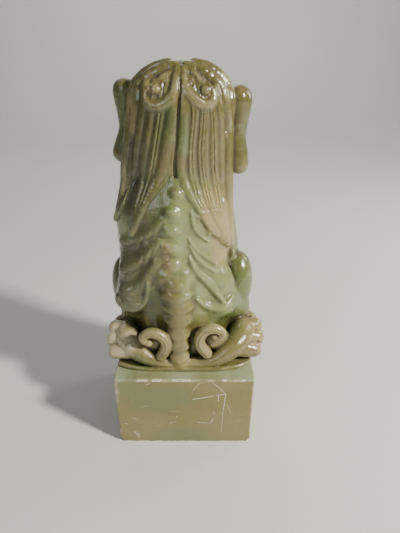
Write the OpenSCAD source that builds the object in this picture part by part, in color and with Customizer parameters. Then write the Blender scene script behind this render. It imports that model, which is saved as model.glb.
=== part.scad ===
// Carved stone guardian lion (foo dog) seated on a square plinth.
// Millimetres. Origin: centre of the plinth's underside. +Z up, the lion faces -Y.
// The real statue is one carved block. Each node is one carved feature of it, and
// neighbours meet face to face. Only the pearl in the mouth is loose.

/* [Plinth] */
// Height of the plinth
plinth_h = 69; // [50:1:90]
// Width of the plinth across its top
plinth_w = 114; // [104:1:130]
// Width of the plinth across its foot
plinth_foot_w = 112; // [100:1:130]
// Depth of the plinth, front to back
plinth_d = 98; // [92:1:120]
// Worn chamfer along every edge of the plinth
plinth_edge = 1.6; // [0.5:0.1:4]

/* [Figure] */
// Overall height, plinth included
statue_h = 300; // [260:1:340]
// Thickness of the slab that the lion sits on
base_slab_h = 6; // [3:0.5:10]

/* [Mouth] */
// Radius of the loose pearl
pearl_r = 6; // [4:0.1:6.2]

/* [Hidden] */
figure_k = (statue_h - plinth_h) / 231;

stone_olive = [0.55, 0.52, 0.36];
stone_green = [0.45, 0.55, 0.37];
stone_cream = [0.72, 0.66, 0.52];
stone_dark = [0.38, 0.36, 0.27];

// ---------- shared shapes ----------

// One round dab of stone at [x, y, z, radius].
module dab(p, fn = 8)
    translate([p[0], p[1], p[2]]) sphere(r = p[3], $fn = fn);

// A round-ended stroke through a list of [x, y, z, radius] points.
module stroke(points, fn = 8)
    for (i = [0 : len(points) - 2])
        hull() {
            dab(points[i], fn);
            dab(points[i + 1], fn);
        }

// One closed lump around all its points.
module lump(points, fn = 9)
    hull()
        for (p = points) dab(p, fn);

// A level slice of the body: [z, centre x, centre y, half width, half depth].
module slice(s, fn = 18)
    translate([s[1], s[2], s[0]])
        scale([s[3], s[4], 1])
            cylinder(h = 0.2, r = 1, $fn = fn);

module loft(slices, fn = 18)
    for (i = [0 : len(slices) - 2])
        hull() {
            slice(slices[i], fn);
            slice(slices[i + 1], fn);
        }

// Puts the lion on the plinth at the chosen overall height.
module on_plinth()
    translate([0, 0, plinth_h])
        scale(figure_k)
            translate([0, 0, -69])
                children();

// ---------- plinth ----------

function chamfered(w, foot_w, h, c) = [
    [-foot_w / 2 + c, 0], [foot_w / 2 - c, 0], [foot_w / 2, c],
    [w / 2, h - c], [w / 2 - c, h], [-w / 2 + c, h],
    [-w / 2, h - c], [-foot_w / 2, c]
];

function cut_corners(w, d, c) = [
    [-w / 2 + c, -d / 2], [w / 2 - c, -d / 2], [w / 2, -d / 2 + c],
    [w / 2, d / 2 - c], [w / 2 - c, d / 2], [-w / 2 + c, d / 2],
    [-w / 2, d / 2 - c], [-w / 2, -d / 2 + c]
];

module plinth()
    color(stone_olive)
        intersection() {
            rotate([90, 0, 0])
                translate([0, 0, -plinth_d / 2])
                    linear_extrude(plinth_d)
                        polygon(chamfered(plinth_w, plinth_foot_w, plinth_h, plinth_edge));
            rotate([90, 0, 90])
                translate([0, 0, -plinth_w / 2])
                    linear_extrude(plinth_w)
                        polygon(chamfered(plinth_d, plinth_d, plinth_h, plinth_edge));
            linear_extrude(plinth_h)
                polygon(cut_corners(plinth_w, plinth_d, plinth_edge));
        }

// ---------- body ----------

body_slices = [
    [70, 0, -2, 40, 33], [84, 0, -1, 39, 33], [104, 0, 0, 37, 33], [126, 1, -1, 35, 32],
    [146, 4, -2, 36, 31], [166, 6, -5, 40, 31], [185, 7, -6.5, 43, 29],
    [203, 5, -8, 39, 28], [214, 3, -8, 35, 26]
];

// Round the base slab: a box with full, rounded sides.
function slab_outline(a, b, n = 3.2) = [
    for (t = [0 : 10 : 350])
        [a * sign(cos(t)) * pow(abs(cos(t)), 2 / n), b * sign(sin(t)) * pow(abs(sin(t)), 2 / n)]
];

module base_form()
    translate([0, -4, 69])
        linear_extrude(base_slab_h)
            polygon(slab_outline(51, 42));

module torso_form()
    loft(body_slices);

spine_knobs = [
    [6, 24, 210, 4.2], [7, 24.5, 202.5, 5.2], [7, 25.5, 195.5, 5], [7, 26, 188.5, 5.6],
    [7, 27, 181.5, 5.2], [7, 27.5, 174.5, 5.8], [7, 28.5, 168, 5], [7, 29.5, 162, 5.4],
    [5, 30.5, 152, 7]
];

module spine_form() {
    stroke(spine_knobs, 7);
    for (k = [1, 3, 5, 7])
        hull() {
            dab(spine_knobs[k] + [-4, 0, 0, -1], 7);
            dab(spine_knobs[k] + [4, 0, 0, -1], 7);
        }
}

// The folded tail: a column of broad beads, [z, y, half width, radius].
tail_beads = [
    [136, 29.5, 15, 7.5], [123, 30.5, 14, 7], [111.5, 31.5, 13, 6.5],
    [100.5, 32.5, 11, 6.2], [90, 34, 9.5, 6], [81.4, 35, 8, 5.8]
];

module tail_form()
    for (b = tail_beads)
        hull()
            for (side = [-1, 1])
                dab([-1 + side * (b[2] - b[3]), b[1], b[0], b[3]], 8);

// Three overlapping rib flaps on each flank.
left_rib_paths = [
    [[19, 20, 194, 3], [30, 18, 189, 5.5], [41, 12, 179, 6], [48, 3, 167, 4.5]],
    [[20, 23, 178, 3], [31, 20, 172, 6], [41, 13, 161, 6.5], [46, 3, 148, 4.5]],
    [[19, 25, 160, 3], [29, 22, 155, 6], [41, 14, 141, 6.5], [49, 3, 127, 4.5]]
];
right_rib_paths = [
    [[-6, 20, 198, 3], [-13, 19, 194, 5], [-20, 15, 185, 5.5], [-24, 12, 174, 4]],
    [[-5, 23, 178, 3], [-13, 21, 172, 5.5], [-20, 16, 162, 6], [-24, 12, 151, 4]],
    [[-7, 24, 158, 3], [-16, 22, 150, 5.5], [-24, 16, 138, 6], [-31, 10, 126, 4]]
];

module ribs_form(paths)
    for (path = paths) stroke(path, 6);

// ---------- hind quarters ----------

left_haunch_points = [
    [[27, 11, 128, 20], [40, -2, 125, 21], [43.5, -13, 121, 19]],
    [[43.5, -13, 121, 19], [42, -15, 134, 14]],
    [[40, -2, 122, 20], [46, -6, 100, 14], [47, -4, 88, 11]]
];
right_haunch_points = [
    [[-27, 11, 127, 20], [-38, -2, 124, 20], [-41, -13, 120, 19]],
    [[-41, -13, 120, 19], [-38, -15, 138, 14]],
    [[-38, -2, 122, 19], [-44, -6, 100, 13], [-46, -4, 90, 11]]
];

module haunch_form(paths)
    for (path = paths) stroke(path, 9);

// Heel to toes. The foot lies along the rear edge with its toes pointing outward.
foot_points = [[9, 34, 77, 7], [28, 34, 79, 8.5], [45, 24, 82, 10], [47, 2, 84, 10]];
toe_points = [
    [[52, 23, 81, 8], [57.5, 23, 79.5, 7.2]],
    [[52, 13, 83.5, 8.6], [58.3, 13.5, 83, 8]],
    [[52, 3, 85, 8.6], [57.8, 3.5, 86, 8]],
    [[50, -6, 84, 8], [55, -6, 84, 7.5]]
];

module hind_foot_form(side)
    mirror([side < 0 ? 1 : 0, 0, 0]) {
        stroke(foot_points, 8);
        for (toe = toe_points) stroke(toe, 6);
    }

// A spiral lock beside the tail.
function volute_radius(t) = 13.5 - 9.5 * t;
function volute_point(t) = [
    25.5 + 1.5 * t + volute_radius(t) * cos(225 - 430 * t),
    37 - 2 * t,
    96.5 + 1.5 * t + volute_radius(t) * sin(225 - 430 * t),
    4.2 - 1.2 * t
];

module tail_curl_form(side)
    mirror([side < 0 ? 1 : 0, 0, 0]) {
        stroke([for (i = [0 : 11]) volute_point(i / 11)], 6);
        stroke([[12, 34, 78, 5], [14, 36, 84, 5], volute_point(0)], 6);
        lump([[25, 26, 97, 10], [25, 20, 97, 10]], 8);
    }

// ---------- fore quarters ----------

left_foreleg_points = [
    [37, -9, 185, 16.5], [39, -17, 160, 13.5], [36, -26, 128, 10.5], [32, -32, 102, 9.5], [31, -34, 88, 9]
];
right_foreleg_points = [
    [-25, -10, 184, 15], [-32, -18, 160, 13], [-34, -25, 136, 10.5], [-32, -30, 120, 9.5], [-31, -33, 108, 8.5]
];

module left_foreleg_form() {
    stroke(left_foreleg_points, 9);
    lump([[33, -20, 196, 9], [26, -22, 186, 13]], 8);
    lump([[36, -16, 150, 9], [44, -10, 150, 5]], 6);
    lump([[40, -10, 172, 12], [30, -22, 172, 12]], 8);
}

module right_foreleg_form() {
    stroke(right_foreleg_points, 9);
    lump([[-23, -20, 196, 9], [-18, -22, 186, 13]], 8);
    lump([[-34, -16, 150, 9], [-41, -10, 150, 5]], 6);
    lump([[-28, -12, 172, 12], [-20, -22, 172, 12]], 8);
}

// A front paw around its wrist point, with four toes.
module front_paw_form(x, y, z) {
    lump([[x, y, z, 9.5], [x - 5, y - 3, z - 1, 7], [x + 5, y - 3, z - 1, 7]], 9);
    for (i = [-1.5 : 1 : 1.5])
        hull() {
            dab([x + i * 5.2, y - 4, z - 1, 4.5], 7);
            dab([x + i * 6, y - 9.4 + abs(i) * 1.3, z - 3.5, 4.4], 7);
        }
    for (i = [-1.5 : 1 : 1.5])
        hull() {
            dab([x + i * 6, y - 11.5 + abs(i) * 1.3, z - 6, 1.7], 5);
            dab([x + i * 6, y - 10.5 + abs(i) * 1.3, z - 3, 1.9], 5);
        }
}

module left_paw_form()
    front_paw_form(31, -35.5, 79.5);

module right_paw_form()
    front_paw_form(-30.5, -35, 104);

module ball_form()
    lump([[-31.2, -30.7, 87.3, 15.6], [-31, -30.9, 86.8, 15.6]], 14);

// ---------- collar and bell ----------

module collar_form() {
    stroke([for (a = [160 : 27.5 : 380]) [3 + 37 * cos(a), -13 + 28 * sin(a), 205 + 7 * sin(a), 3]], 6);
    stroke([for (a = [160 : 27.5 : 380]) [3 + 37.5 * cos(a), -13 + 28.5 * sin(a), 208.6 + 7 * sin(a), 1.8]], 5);
}

module bell_form() {
    translate([3, -42.4, 187]) sphere(r = 6.4, $fn = 14);
    stroke([for (a = [0 : 45 : 360]) [3 + 6 * cos(a), -42.4 + 5.4 * sin(a), 187.5, 1]], 4);
    stroke([[3, -42, 192.5, 2.2], [3, -41, 198, 2.4]], 6);
}

// ---------- head ----------

module mouth_space()
    lump([[-10, -24, 237.4, 8.2], [10, -24, 237.4, 8.2], [-8, -40, 237.4, 8.2], [8, -40, 237.4, 8.2],
          [-6, -56, 237.4, 8.2], [6, -56, 237.4, 8.2]], 10);

module head_form() {
    lump([[0, -10, 265, 26], [0, -14, 258, 28]], 12);
    lump([[-18, -8, 250, 18], [18, -8, 250, 18], [0, -10, 232, 22]], 10);
    lump([[-18, -20, 272, 13], [18, -20, 272, 13]], 9);
    lump([[-20, -14, 232, 13], [20, -14, 232, 13]], 9);
}

module muzzle_form() {
    lump([[-9, -34, 253, 11], [9, -34, 253, 11], [0, -38, 254, 10]], 9);
    for (side = [-1, 1])
        stroke([[side * 4, -40, 251, 7], [side * 13, -34, 249, 7.5], [side * 20, -24, 246, 7]], 7);
}

module jaw_form() {
    lump([[-14, -22, 227, 9], [14, -22, 227, 9], [-7, -36, 226.5, 7.5], [7, -36, 226.5, 7.5]], 9);
    stroke([for (a = [180 : 30 : 360]) [17 * cos(a), -24 + 20 * sin(a), 228.5, 3.4]], 6);
}

module jaw_arc_teeth(z, tip, r) {
    for (a = [204 : 22 : 336])
        hull() {
            dab([15.5 * cos(a), -26 + 16.5 * sin(a), z, r], 5);
            dab([15.5 * cos(a), -26 + 16.5 * sin(a), z + tip, r * 0.7], 5);
        }
}

module upper_teeth_form() {
    jaw_arc_teeth(246.5, -3.4, 2.5);
    for (side = [-1, 1])
        stroke([[side * 12.5, -37.5, 246, 2.8], [side * 12.5, -38.5, 238.5, 1.2]], 6);
}

module lower_teeth_form() {
    jaw_arc_teeth(229, 3.2, 2.4);
    for (side = [-1, 1])
        stroke([[side * 14.5, -34.5, 230, 2.6], [side * 14.5, -35, 237, 1.1]], 6);
}

// The tongue is a low bed under the pearl, dished so that the pearl can roll.
module tongue_form()
    difference() {
        lump([[-6, -22, 229.5, 4], [6, -22, 229.5, 4], [-5.5, -36, 229.5, 4], [5.5, -36, 229.5, 4]], 9);
        pearl_clearance();
    }

pearl_centre = [0, -31, 238];

module pearl_clearance()
    translate(pearl_centre)
        rotate([90, 0, 0])
            sphere(r = 6.6, $fn = 18);

module eye_form(side) {
    translate([side * 13.5, -38, 271]) sphere(r = 6.3, $fn = 14);
    stroke([for (a = [0 : 45 : 360]) [side * 13.5 + 6.2 * cos(a), -38.8, 271 + 5.4 * sin(a), 1.3]], 5);
}

module brow_form(side)
    mirror([side < 0 ? 1 : 0, 0, 0]) {
        stroke([[3.5, -39, 272, 3.2], [7, -38, 279, 4.4], [15, -35, 283, 5], [24, -29, 280, 4.4], [30, -24, 273, 3]], 7);
        stroke([[24, -29, 281, 3], [29, -25, 287, 3], [25, -24, 291, 2.4], [21, -26, 288, 2]], 6);
        stroke([[9, -36, 284, 3], [12, -33, 290, 2.6], [8, -32, 293, 2.2], [5.5, -34, 289, 2]], 6);
    }

module nose_form() {
    lump([[0, -42, 262, 6], [0, -36, 270, 5]], 8);
    for (side = [-1, 1]) {
        lump([[side * 5, -42, 258.5, 4.6], [side * 3, -38, 262, 4.6]], 8);
        stroke([for (a = [0 : 60 : 300]) [side * 6 + 2.6 * cos(a), -43.6, 258.5 + 2.2 * sin(a), 1.1]], 5);
    }
}

// Each ear is a hanging flap that is full at the top and at the tip.
left_ear_points = [
    [36, -14, 281, 6.4], [41.2, -14, 276, 7.4], [42, -14.5, 264, 6.2], [42, -14.5, 252, 5.6],
    [45.5, -13.5, 240, 6], [47.2, -12, 234.2, 5.4]
];
right_ear_points = [
    [-37, -14, 277, 7], [-42.2, -14, 273, 8], [-42.4, -14.5, 262, 6.2], [-42.2, -14.5, 250, 5.8],
    [-43, -13.5, 238, 6.4], [-43.4, -12, 228, 6.6]
];

module ear_form(points) {
    stroke(points, 8);
    stroke([for (p = points) [p[0] * 0.97, p[1] + 4, p[2], p[3] * 0.8]], 6);
}

// The hair lies on a dome that flares out over the shoulders.
function dome_y(x, z) =
    let (half = 43 + max(0, 225 - z) * 0.12, deep = z > 262 ? 27 - pow((z - 262) / 37, 2) * 19 : 27)
    -6 + deep * sqrt(max(0.06, 1 - pow((x - 2) / half, 2))) + max(0, 222 - z) * 0.06;

function lock(points) = [for (p = points) [p[0], dome_y(p[0], p[1]) - p[2] * 0.55, p[1], p[2]]];

left_locks = [
    lock([[31, 280, 5], [35, 256, 5], [37.5, 228, 5], [43, 203, 4.4], [51, 186, 1.8]]),
    lock([[24, 287, 5], [29, 256, 5], [32, 228, 5], [38, 206, 4.4], [47.5, 190, 1.8]]),
    lock([[18, 291, 5], [22.5, 257, 5], [26, 229, 5], [32, 208, 4.8], [42, 188.5, 2]]),
    lock([[11, 293, 5], [16, 258, 5], [20, 231, 5.2], [26, 208, 5], [36.4, 184, 2]]),
    lock([[5, 292, 4.4], [9.5, 260, 4.8], [13.5, 235, 5], [19, 213, 4.6], [29, 192, 2]])
];
right_locks = [
    lock([[-30, 280, 5], [-30.5, 256, 5], [-30.5, 228, 5], [-33, 200, 5], [-35.4, 176, 4], [-37.4, 160, 1.8]]),
    lock([[-23, 287, 5], [-25, 256, 5], [-25.5, 228, 5], [-29, 203, 5], [-33.5, 180, 3.6], [-36, 166, 1.8]]),
    lock([[-16, 291, 5], [-18.5, 257, 5], [-19, 230, 5], [-22.5, 205, 5], [-29, 184, 3.2], [-32.5, 174, 1.8]]),
    lock([[-9, 293, 5], [-12, 258, 5], [-12, 233, 5], [-15.5, 208, 5], [-22, 190, 2.4]]),
    lock([[-3, 292, 4.4], [-5, 260, 4.8], [-4.5, 237, 5], [-7, 215, 4.6], [-14, 193, 2]])
];

module mane_form(locks, side) {
    for (path = locks) stroke(path, 6);
    lump([[side * 8 + 1, -1, 284, 13], [side * 20 + 1, -4, 278, 13]], 8);
    lump([[side * 5 + 2, 3, 280, 14], [side * 5 + 2, 6, 266, 13.5], [side * 5 + 2, 6, 240, 13.5], [side * 6 + 3, 3, 226, 13]], 8);
    lump([[side * 30 + 3, -8, 236, 8], [side * 32 + 4, -6, 208, 9]], 7);
    lump([[side * 22 + 2, -2, 272, 15.5], [side * 24 + 2, -1, 232, 15.5], [side * 9 + 2, 3, 270, 15], [side * 9 + 2, 3, 236, 15]], 8);
}

// Hooked bands of hair either side of the parting, on the crown.
left_hook_points = [
    [3, 3, 295.84, 4.5], [10, 7, 293, 5], [18, 9, 287, 5], [24, 12, 279, 4.6],
    [23.5, 15, 271, 4.2], [18, 16.5, 272, 3.6], [15.8, 16, 278, 3.2], [19.5, 15.5, 281, 2.8]
];
right_hook_points = [
    [-1, 3, 295.84, 4.5], [-7, 7, 293, 5], [-15, 9, 287, 5], [-21, 12, 279, 4.6],
    [-20.5, 15, 271, 4.2], [-15, 16.5, 271, 3.6], [-13, 16, 277, 3.2], [-16.5, 15.5, 280, 2.8]
];

module crown_curl_form(points)
    stroke(points, 8);

function cheek_point(t) = let (r = 10.5 - 7 * t, a = 90 - 400 * t)
    [29 + r * cos(a) * 0.72, -23 + r * cos(a) * 0.5 - t * 3, 240 + r * sin(a), 3.8 - t];

module cheek_curl_form(side)
    mirror([side < 0 ? 1 : 0, 0, 0]) {
        stroke([for (i = [0 : 8]) cheek_point(i / 8)], 6);
        stroke([[30, -20, 228, 5], [28, -22, 221, 4], [30, -24, 216.5, 2]], 6);
        lump([[26, -16, 240, 9], [22, -12, 240, 9]], 8);
    }

module beard_form()
    for (i = [-2 : 1 : 2])
        stroke([[i * 5.5, -37.5 + abs(i) * 2.4, 222, 3.8], [i * 5, -42 + abs(i) * 2, 213.5, 3.4],
                [i * 4, -42.5 + abs(i) * 1.5, 205 + abs(i) * 3, 1.8]], 6);

// ---------- nodes: each feature less the finer features that sit in it ----------

module figure_base()
    color(stone_olive)
        on_plinth()
            difference() {
                base_form();
                hind_foot_form(1);
                hind_foot_form(-1);
                left_paw_form();
                ball_form();
                tail_curl_form(1);
                tail_curl_form(-1);
            }

module torso()
    color(stone_olive)
        on_plinth()
            difference() {
                torso_form();
                base_form();
                spine_form();
                tail_form();
                ribs_form(left_rib_paths);
                ribs_form(right_rib_paths);
                haunch_form(left_haunch_points);
                haunch_form(right_haunch_points);
                hind_foot_form(1);
                hind_foot_form(-1);
                tail_curl_form(1);
                tail_curl_form(-1);
                left_foreleg_form();
                right_foreleg_form();
                right_paw_form();
                ball_form();
                collar_form();
                head_form();
                mane_form(left_locks, 1);
                mane_form(right_locks, -1);
            }

module spine_ridge()
    color(stone_green)
        on_plinth()
            difference() {
                spine_form();
                mane_form(left_locks, 1);
                mane_form(right_locks, -1);
                tail_form();
            }

module tail()
    color(stone_cream)
        on_plinth()
            tail_form();

module left_ribs()
    color(stone_green)
        on_plinth()
            difference() {
                ribs_form(left_rib_paths);
                spine_form();
                tail_form();
                haunch_form(left_haunch_points);
                left_foreleg_form();
                mane_form(left_locks, 1);
            }

module right_ribs()
    color(stone_green)
        on_plinth()
            difference() {
                ribs_form(right_rib_paths);
                spine_form();
                tail_form();
                haunch_form(right_haunch_points);
                right_foreleg_form();
                mane_form(right_locks, -1);
            }

module haunch(paths, side)
    color(stone_olive)
        on_plinth()
            difference() {
                haunch_form(paths);
                base_form();
                spine_form();
                tail_form();
                tail_curl_form(side);
                hind_foot_form(side);
                if (side > 0) {
                    left_foreleg_form();
                } else {
                    right_foreleg_form();
                    mane_form(right_locks, -1);
                }
            }

module left_haunch()
    haunch(left_haunch_points, 1);

module right_haunch()
    haunch(right_haunch_points, -1);

module hind_foot(side)
    color(stone_cream)
        on_plinth()
            difference() {
                hind_foot_form(side);
                tail_curl_form(side);
                tail_form();
                translate([-100, -100, 0]) cube([200, 200, 69]);
            }

module left_hind_foot()
    hind_foot(1);

module right_hind_foot()
    hind_foot(-1);

module tail_curl(side)
    color(stone_cream)
        on_plinth()
            difference() {
                tail_curl_form(side);
                tail_form();
                translate([-100, -100, 0]) cube([200, 200, 69]);
            }

module left_tail_curl()
    tail_curl(1);

module right_tail_curl()
    tail_curl(-1);

module left_foreleg()
    color(stone_olive)
        on_plinth()
            difference() {
                left_foreleg_form();
                left_paw_form();
                collar_form();
                head_form();
                mane_form(left_locks, 1);
                cheek_curl_form(1);
                beard_form();
                bell_form();
            }

module right_foreleg()
    color(stone_olive)
        on_plinth()
            difference() {
                right_foreleg_form();
                right_paw_form();
                collar_form();
                head_form();
                mane_form(right_locks, -1);
                cheek_curl_form(-1);
                beard_form();
                bell_form();
            }

module left_front_paw()
    color(stone_cream)
        on_plinth()
            difference() {
                left_paw_form();
                translate([-100, -100, 0]) cube([200, 200, 69]);
            }

module right_front_paw()
    color(stone_cream)
        on_plinth()
            right_paw_form();

module brocade_ball()
    color(stone_green)
        on_plinth()
            difference() {
                ball_form();
                right_paw_form();
                right_foreleg_form();
            }

module collar()
    color(stone_cream)
        on_plinth()
            difference() {
                collar_form();
                mane_form(left_locks, 1);
                mane_form(right_locks, -1);
                beard_form();
                bell_form();
                cheek_curl_form(1);
                cheek_curl_form(-1);
            }

module bell()
    color(stone_cream)
        on_plinth()
            difference() {
                bell_form();
                beard_form();
                translate([3, -47.4, 183.4]) cube([8, 6, 1.4], center = true);
            }

module head()
    color(stone_olive)
        on_plinth()
            difference() {
                head_form();
                mouth_space();
                muzzle_form();
                jaw_form();
                nose_form();
                eye_form(1);
                eye_form(-1);
                brow_form(1);
                brow_form(-1);
                collar_form();
                beard_form();
                ear_form(left_ear_points);
                ear_form(right_ear_points);
                mane_form(left_locks, 1);
                mane_form(right_locks, -1);
                crown_curl_form(left_hook_points);
                crown_curl_form(right_hook_points);
                cheek_curl_form(1);
                cheek_curl_form(-1);
                upper_teeth_form();
                lower_teeth_form();
                tongue_form();
            }

module muzzle()
    color(stone_olive)
        on_plinth()
            difference() {
                muzzle_form();
                mouth_space();
                nose_form();
                eye_form(1);
                eye_form(-1);
                brow_form(1);
                brow_form(-1);
                upper_teeth_form();
                cheek_curl_form(1);
                cheek_curl_form(-1);
            }

module lower_jaw()
    color(stone_olive)
        on_plinth()
            difference() {
                jaw_form();
                mouth_space();
                lower_teeth_form();
                tongue_form();
                beard_form();
                cheek_curl_form(1);
                cheek_curl_form(-1);
            }

module upper_teeth()
    color(stone_cream)
        on_plinth()
            upper_teeth_form();

module lower_teeth()
    color(stone_cream)
        on_plinth()
            lower_teeth_form();

module tongue()
    color(stone_cream)
        on_plinth()
            difference() {
                tongue_form();
                lower_teeth_form();
            }

module pearl()
    color(stone_cream)
        on_plinth()
            translate(pearl_centre)
                rotate([0, 90, 0])
                    sphere(r = pearl_r, $fn = 48);

module eye(side)
    color(stone_dark)
        on_plinth()
            difference() {
                eye_form(side);
                brow_form(side);
                nose_form();
            }

module left_eye()
    eye(1);

module right_eye()
    eye(-1);

module brow(side)
    color(stone_olive)
        on_plinth()
            difference() {
                brow_form(side);
                nose_form();
                brow_form(-side);
            }

module left_brow()
    brow(1);

module right_brow()
    color(stone_olive)
        on_plinth()
            difference() {
                brow_form(-1);
                nose_form();
            }

module nose()
    color(stone_dark)
        on_plinth()
            nose_form();

module left_ear()
    color(stone_olive)
        on_plinth()
            ear_form(left_ear_points);

module right_ear()
    color(stone_green)
        on_plinth()
            ear_form(right_ear_points);

module left_mane()
    color(stone_green)
        on_plinth()
            difference() {
                mane_form(left_locks, 1);
                crown_curl_form(left_hook_points);
                crown_curl_form(right_hook_points);
                ear_form(left_ear_points);
                brow_form(1);
                cheek_curl_form(1);
            }

module right_mane()
    color(stone_green)
        on_plinth()
            difference() {
                mane_form(right_locks, -1);
                mane_form(left_locks, 1);
                crown_curl_form(left_hook_points);
                crown_curl_form(right_hook_points);
                ear_form(right_ear_points);
                brow_form(-1);
                cheek_curl_form(-1);
            }

module left_crown_curl()
    color(stone_olive)
        on_plinth()
            crown_curl_form(left_hook_points);

module right_crown_curl()
    color(stone_olive)
        on_plinth()
            difference() {
                crown_curl_form(right_hook_points);
                crown_curl_form(left_hook_points);
            }

module cheek_curl(side)
    color(stone_olive)
        on_plinth()
            difference() {
                cheek_curl_form(side);
                mouth_space();
            }

module left_cheek_curl()
    cheek_curl(1);

module right_cheek_curl()
    cheek_curl(-1);

module beard()
    color(stone_olive)
        on_plinth()
            beard_form();

plinth();
figure_base();
torso();
spine_ridge();
tail();
left_haunch();
right_haunch();
left_hind_foot();
right_hind_foot();
left_tail_curl();
right_tail_curl();
left_ribs();
right_ribs();
left_foreleg();
right_foreleg();
left_front_paw();
right_front_paw();
brocade_ball();
collar();
bell();
head();
muzzle();
lower_jaw();
upper_teeth();
lower_teeth();
tongue();
pearl();
left_eye();
right_eye();
left_brow();
right_brow();
nose();
left_ear();
right_ear();
left_mane();
right_mane();
left_crown_curl();
right_crown_curl();
left_cheek_curl();
right_cheek_curl();
beard();
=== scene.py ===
"""A stone guardian lion on its plinth, seen from behind: carved shapes, stone, light and camera.

Lengths are in millimetres in the CAD's frame: +Z is up, the lion faces -Y and its left is +X. Only
what is given to Blender is in metres: meshes, shader places, the floor, the lights and the camera.
The figure is carved in a block of distances (negative inside the stone), which is turned into one
smooth skin and then shared out between the CAD nodes.
"""
import itertools
import math

import bpy
import numpy as np
import openvdb
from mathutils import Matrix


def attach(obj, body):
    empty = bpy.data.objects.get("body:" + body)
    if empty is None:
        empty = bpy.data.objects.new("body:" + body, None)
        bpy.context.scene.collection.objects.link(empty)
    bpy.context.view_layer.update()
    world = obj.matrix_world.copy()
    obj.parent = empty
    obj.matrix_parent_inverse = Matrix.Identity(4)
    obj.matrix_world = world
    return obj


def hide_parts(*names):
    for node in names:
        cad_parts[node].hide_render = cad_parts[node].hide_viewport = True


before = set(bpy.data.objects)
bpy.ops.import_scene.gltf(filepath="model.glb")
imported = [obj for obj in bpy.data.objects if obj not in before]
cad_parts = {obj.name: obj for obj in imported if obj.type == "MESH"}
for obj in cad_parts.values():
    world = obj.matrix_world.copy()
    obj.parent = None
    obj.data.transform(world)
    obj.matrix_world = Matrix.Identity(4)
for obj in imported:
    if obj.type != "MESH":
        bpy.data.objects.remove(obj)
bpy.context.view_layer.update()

TO_M = 0.001
# The grid's spacing, the largest distance it holds, and how far round a shape it is worked out.
STEP = 0.6
FAR = 12.0
MARGIN = 4.0
PLINTH_TOP = 69.0
PLINTH_HALF_WIDTH = 56
PLINTH_HALF_DEPTH = 49
PEARL_CENTRE = (0.0, -31.0, 238.0)
PEARL_R = 6.0


# ---------- distance shapes: each is (lowest corner, highest corner, distance function) ----------

def capsule(p, q):
    """A round stroke from p to q, each given as (x, y, z, radius)."""
    ax, ay, az = (q[i] - p[i] for i in range(3))
    length2 = max(ax * ax + ay * ay + az * az, 1e-6)
    low = [min(p[i] - p[3], q[i] - q[3]) for i in range(3)]
    high = [max(p[i] + p[3], q[i] + q[3]) for i in range(3)]

    def distance(x, y, z):
        t = np.clip(((x - p[0]) * ax + (y - p[1]) * ay + (z - p[2]) * az) / length2, 0.0, 1.0)
        dx = x - p[0] - t * ax
        dy = y - p[1] - t * ay
        dz = z - p[2] - t * az
        return np.sqrt(dx * dx + dy * dy + dz * dz) - (p[3] + t * (q[3] - p[3]))

    return low, high, distance


def chain(points):
    """Round strokes from each point to the next."""
    return [capsule(a, b) for a, b in zip(points, points[1:])]


def ellipsoid(centre, radii, tilt=0.0, turn=0.0):
    """An egg of stone. tilt leans it about Y and turn swings it about Z, in degrees."""
    ct, st = math.cos(math.radians(tilt)), math.sin(math.radians(tilt))
    cr, sr = math.cos(math.radians(turn)), math.sin(math.radians(turn))
    reach = max(radii)
    low = [c - reach for c in centre]
    high = [c + reach for c in centre]

    def distance(x, y, z):
        dx, dy, dz = x - centre[0], y - centre[1], z - centre[2]
        dx, dy = dx * cr + dy * sr, dy * cr - dx * sr
        dx, dz = dx * ct - dz * st, dz * ct + dx * st
        u, v, w = dx / radii[0], dy / radii[1], dz / radii[2]
        near = np.sqrt(u * u + v * v + w * w) + 1e-6
        slope = np.sqrt((u / radii[0]) ** 2 + (v / radii[1]) ** 2 + (w / radii[2]) ** 2) + 1e-6
        return near * (near - 1.0) / slope

    return low, high, distance


def column(slices):
    """A body through level slices (z, centre x, centre y, half width, half depth)."""
    table = np.array(slices, dtype=np.float64)
    low = [(table[:, 1] - table[:, 3]).min(), (table[:, 2] - table[:, 4]).min(), table[0, 0]]
    high = [(table[:, 1] + table[:, 3]).max(), (table[:, 2] + table[:, 4]).max(), table[-1, 0]]
    levels = np.linspace(table[0, 0], table[-1, 0], 160)
    kernel = np.hanning(15) / np.hanning(15).sum()
    curves = []
    for i in range(1, 5):
        raw = np.interp(levels, table[:, 0], table[:, i])
        curves.append(np.convolve(np.pad(raw, 7, mode="edge"), kernel, mode="valid"))

    def distance(x, y, z):
        flat = z.ravel()
        cx, cy, rx, ry = (np.interp(flat, levels, c).astype(np.float32).reshape(z.shape) for c in curves)
        u, v = (x - cx) / rx, (y - cy) / ry
        near = np.sqrt(u * u + v * v) + 1e-6
        slope = np.sqrt((u / rx) ** 2 + (v / ry) ** 2) + 1e-6
        side = near * (near - 1.0) / slope
        ends = np.maximum(table[0, 0] - z, z - table[-1, 0])
        return np.maximum(side, ends)

    return low, high, distance


SLAB_CENTRE = (2, -4)
SLAB_REACH = (62, 43.4)
SLAB_GROOVE_REACH = 43.6
SLAB_TOP = 73
SLAB_HALF_WIDTH = 55.6


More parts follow.
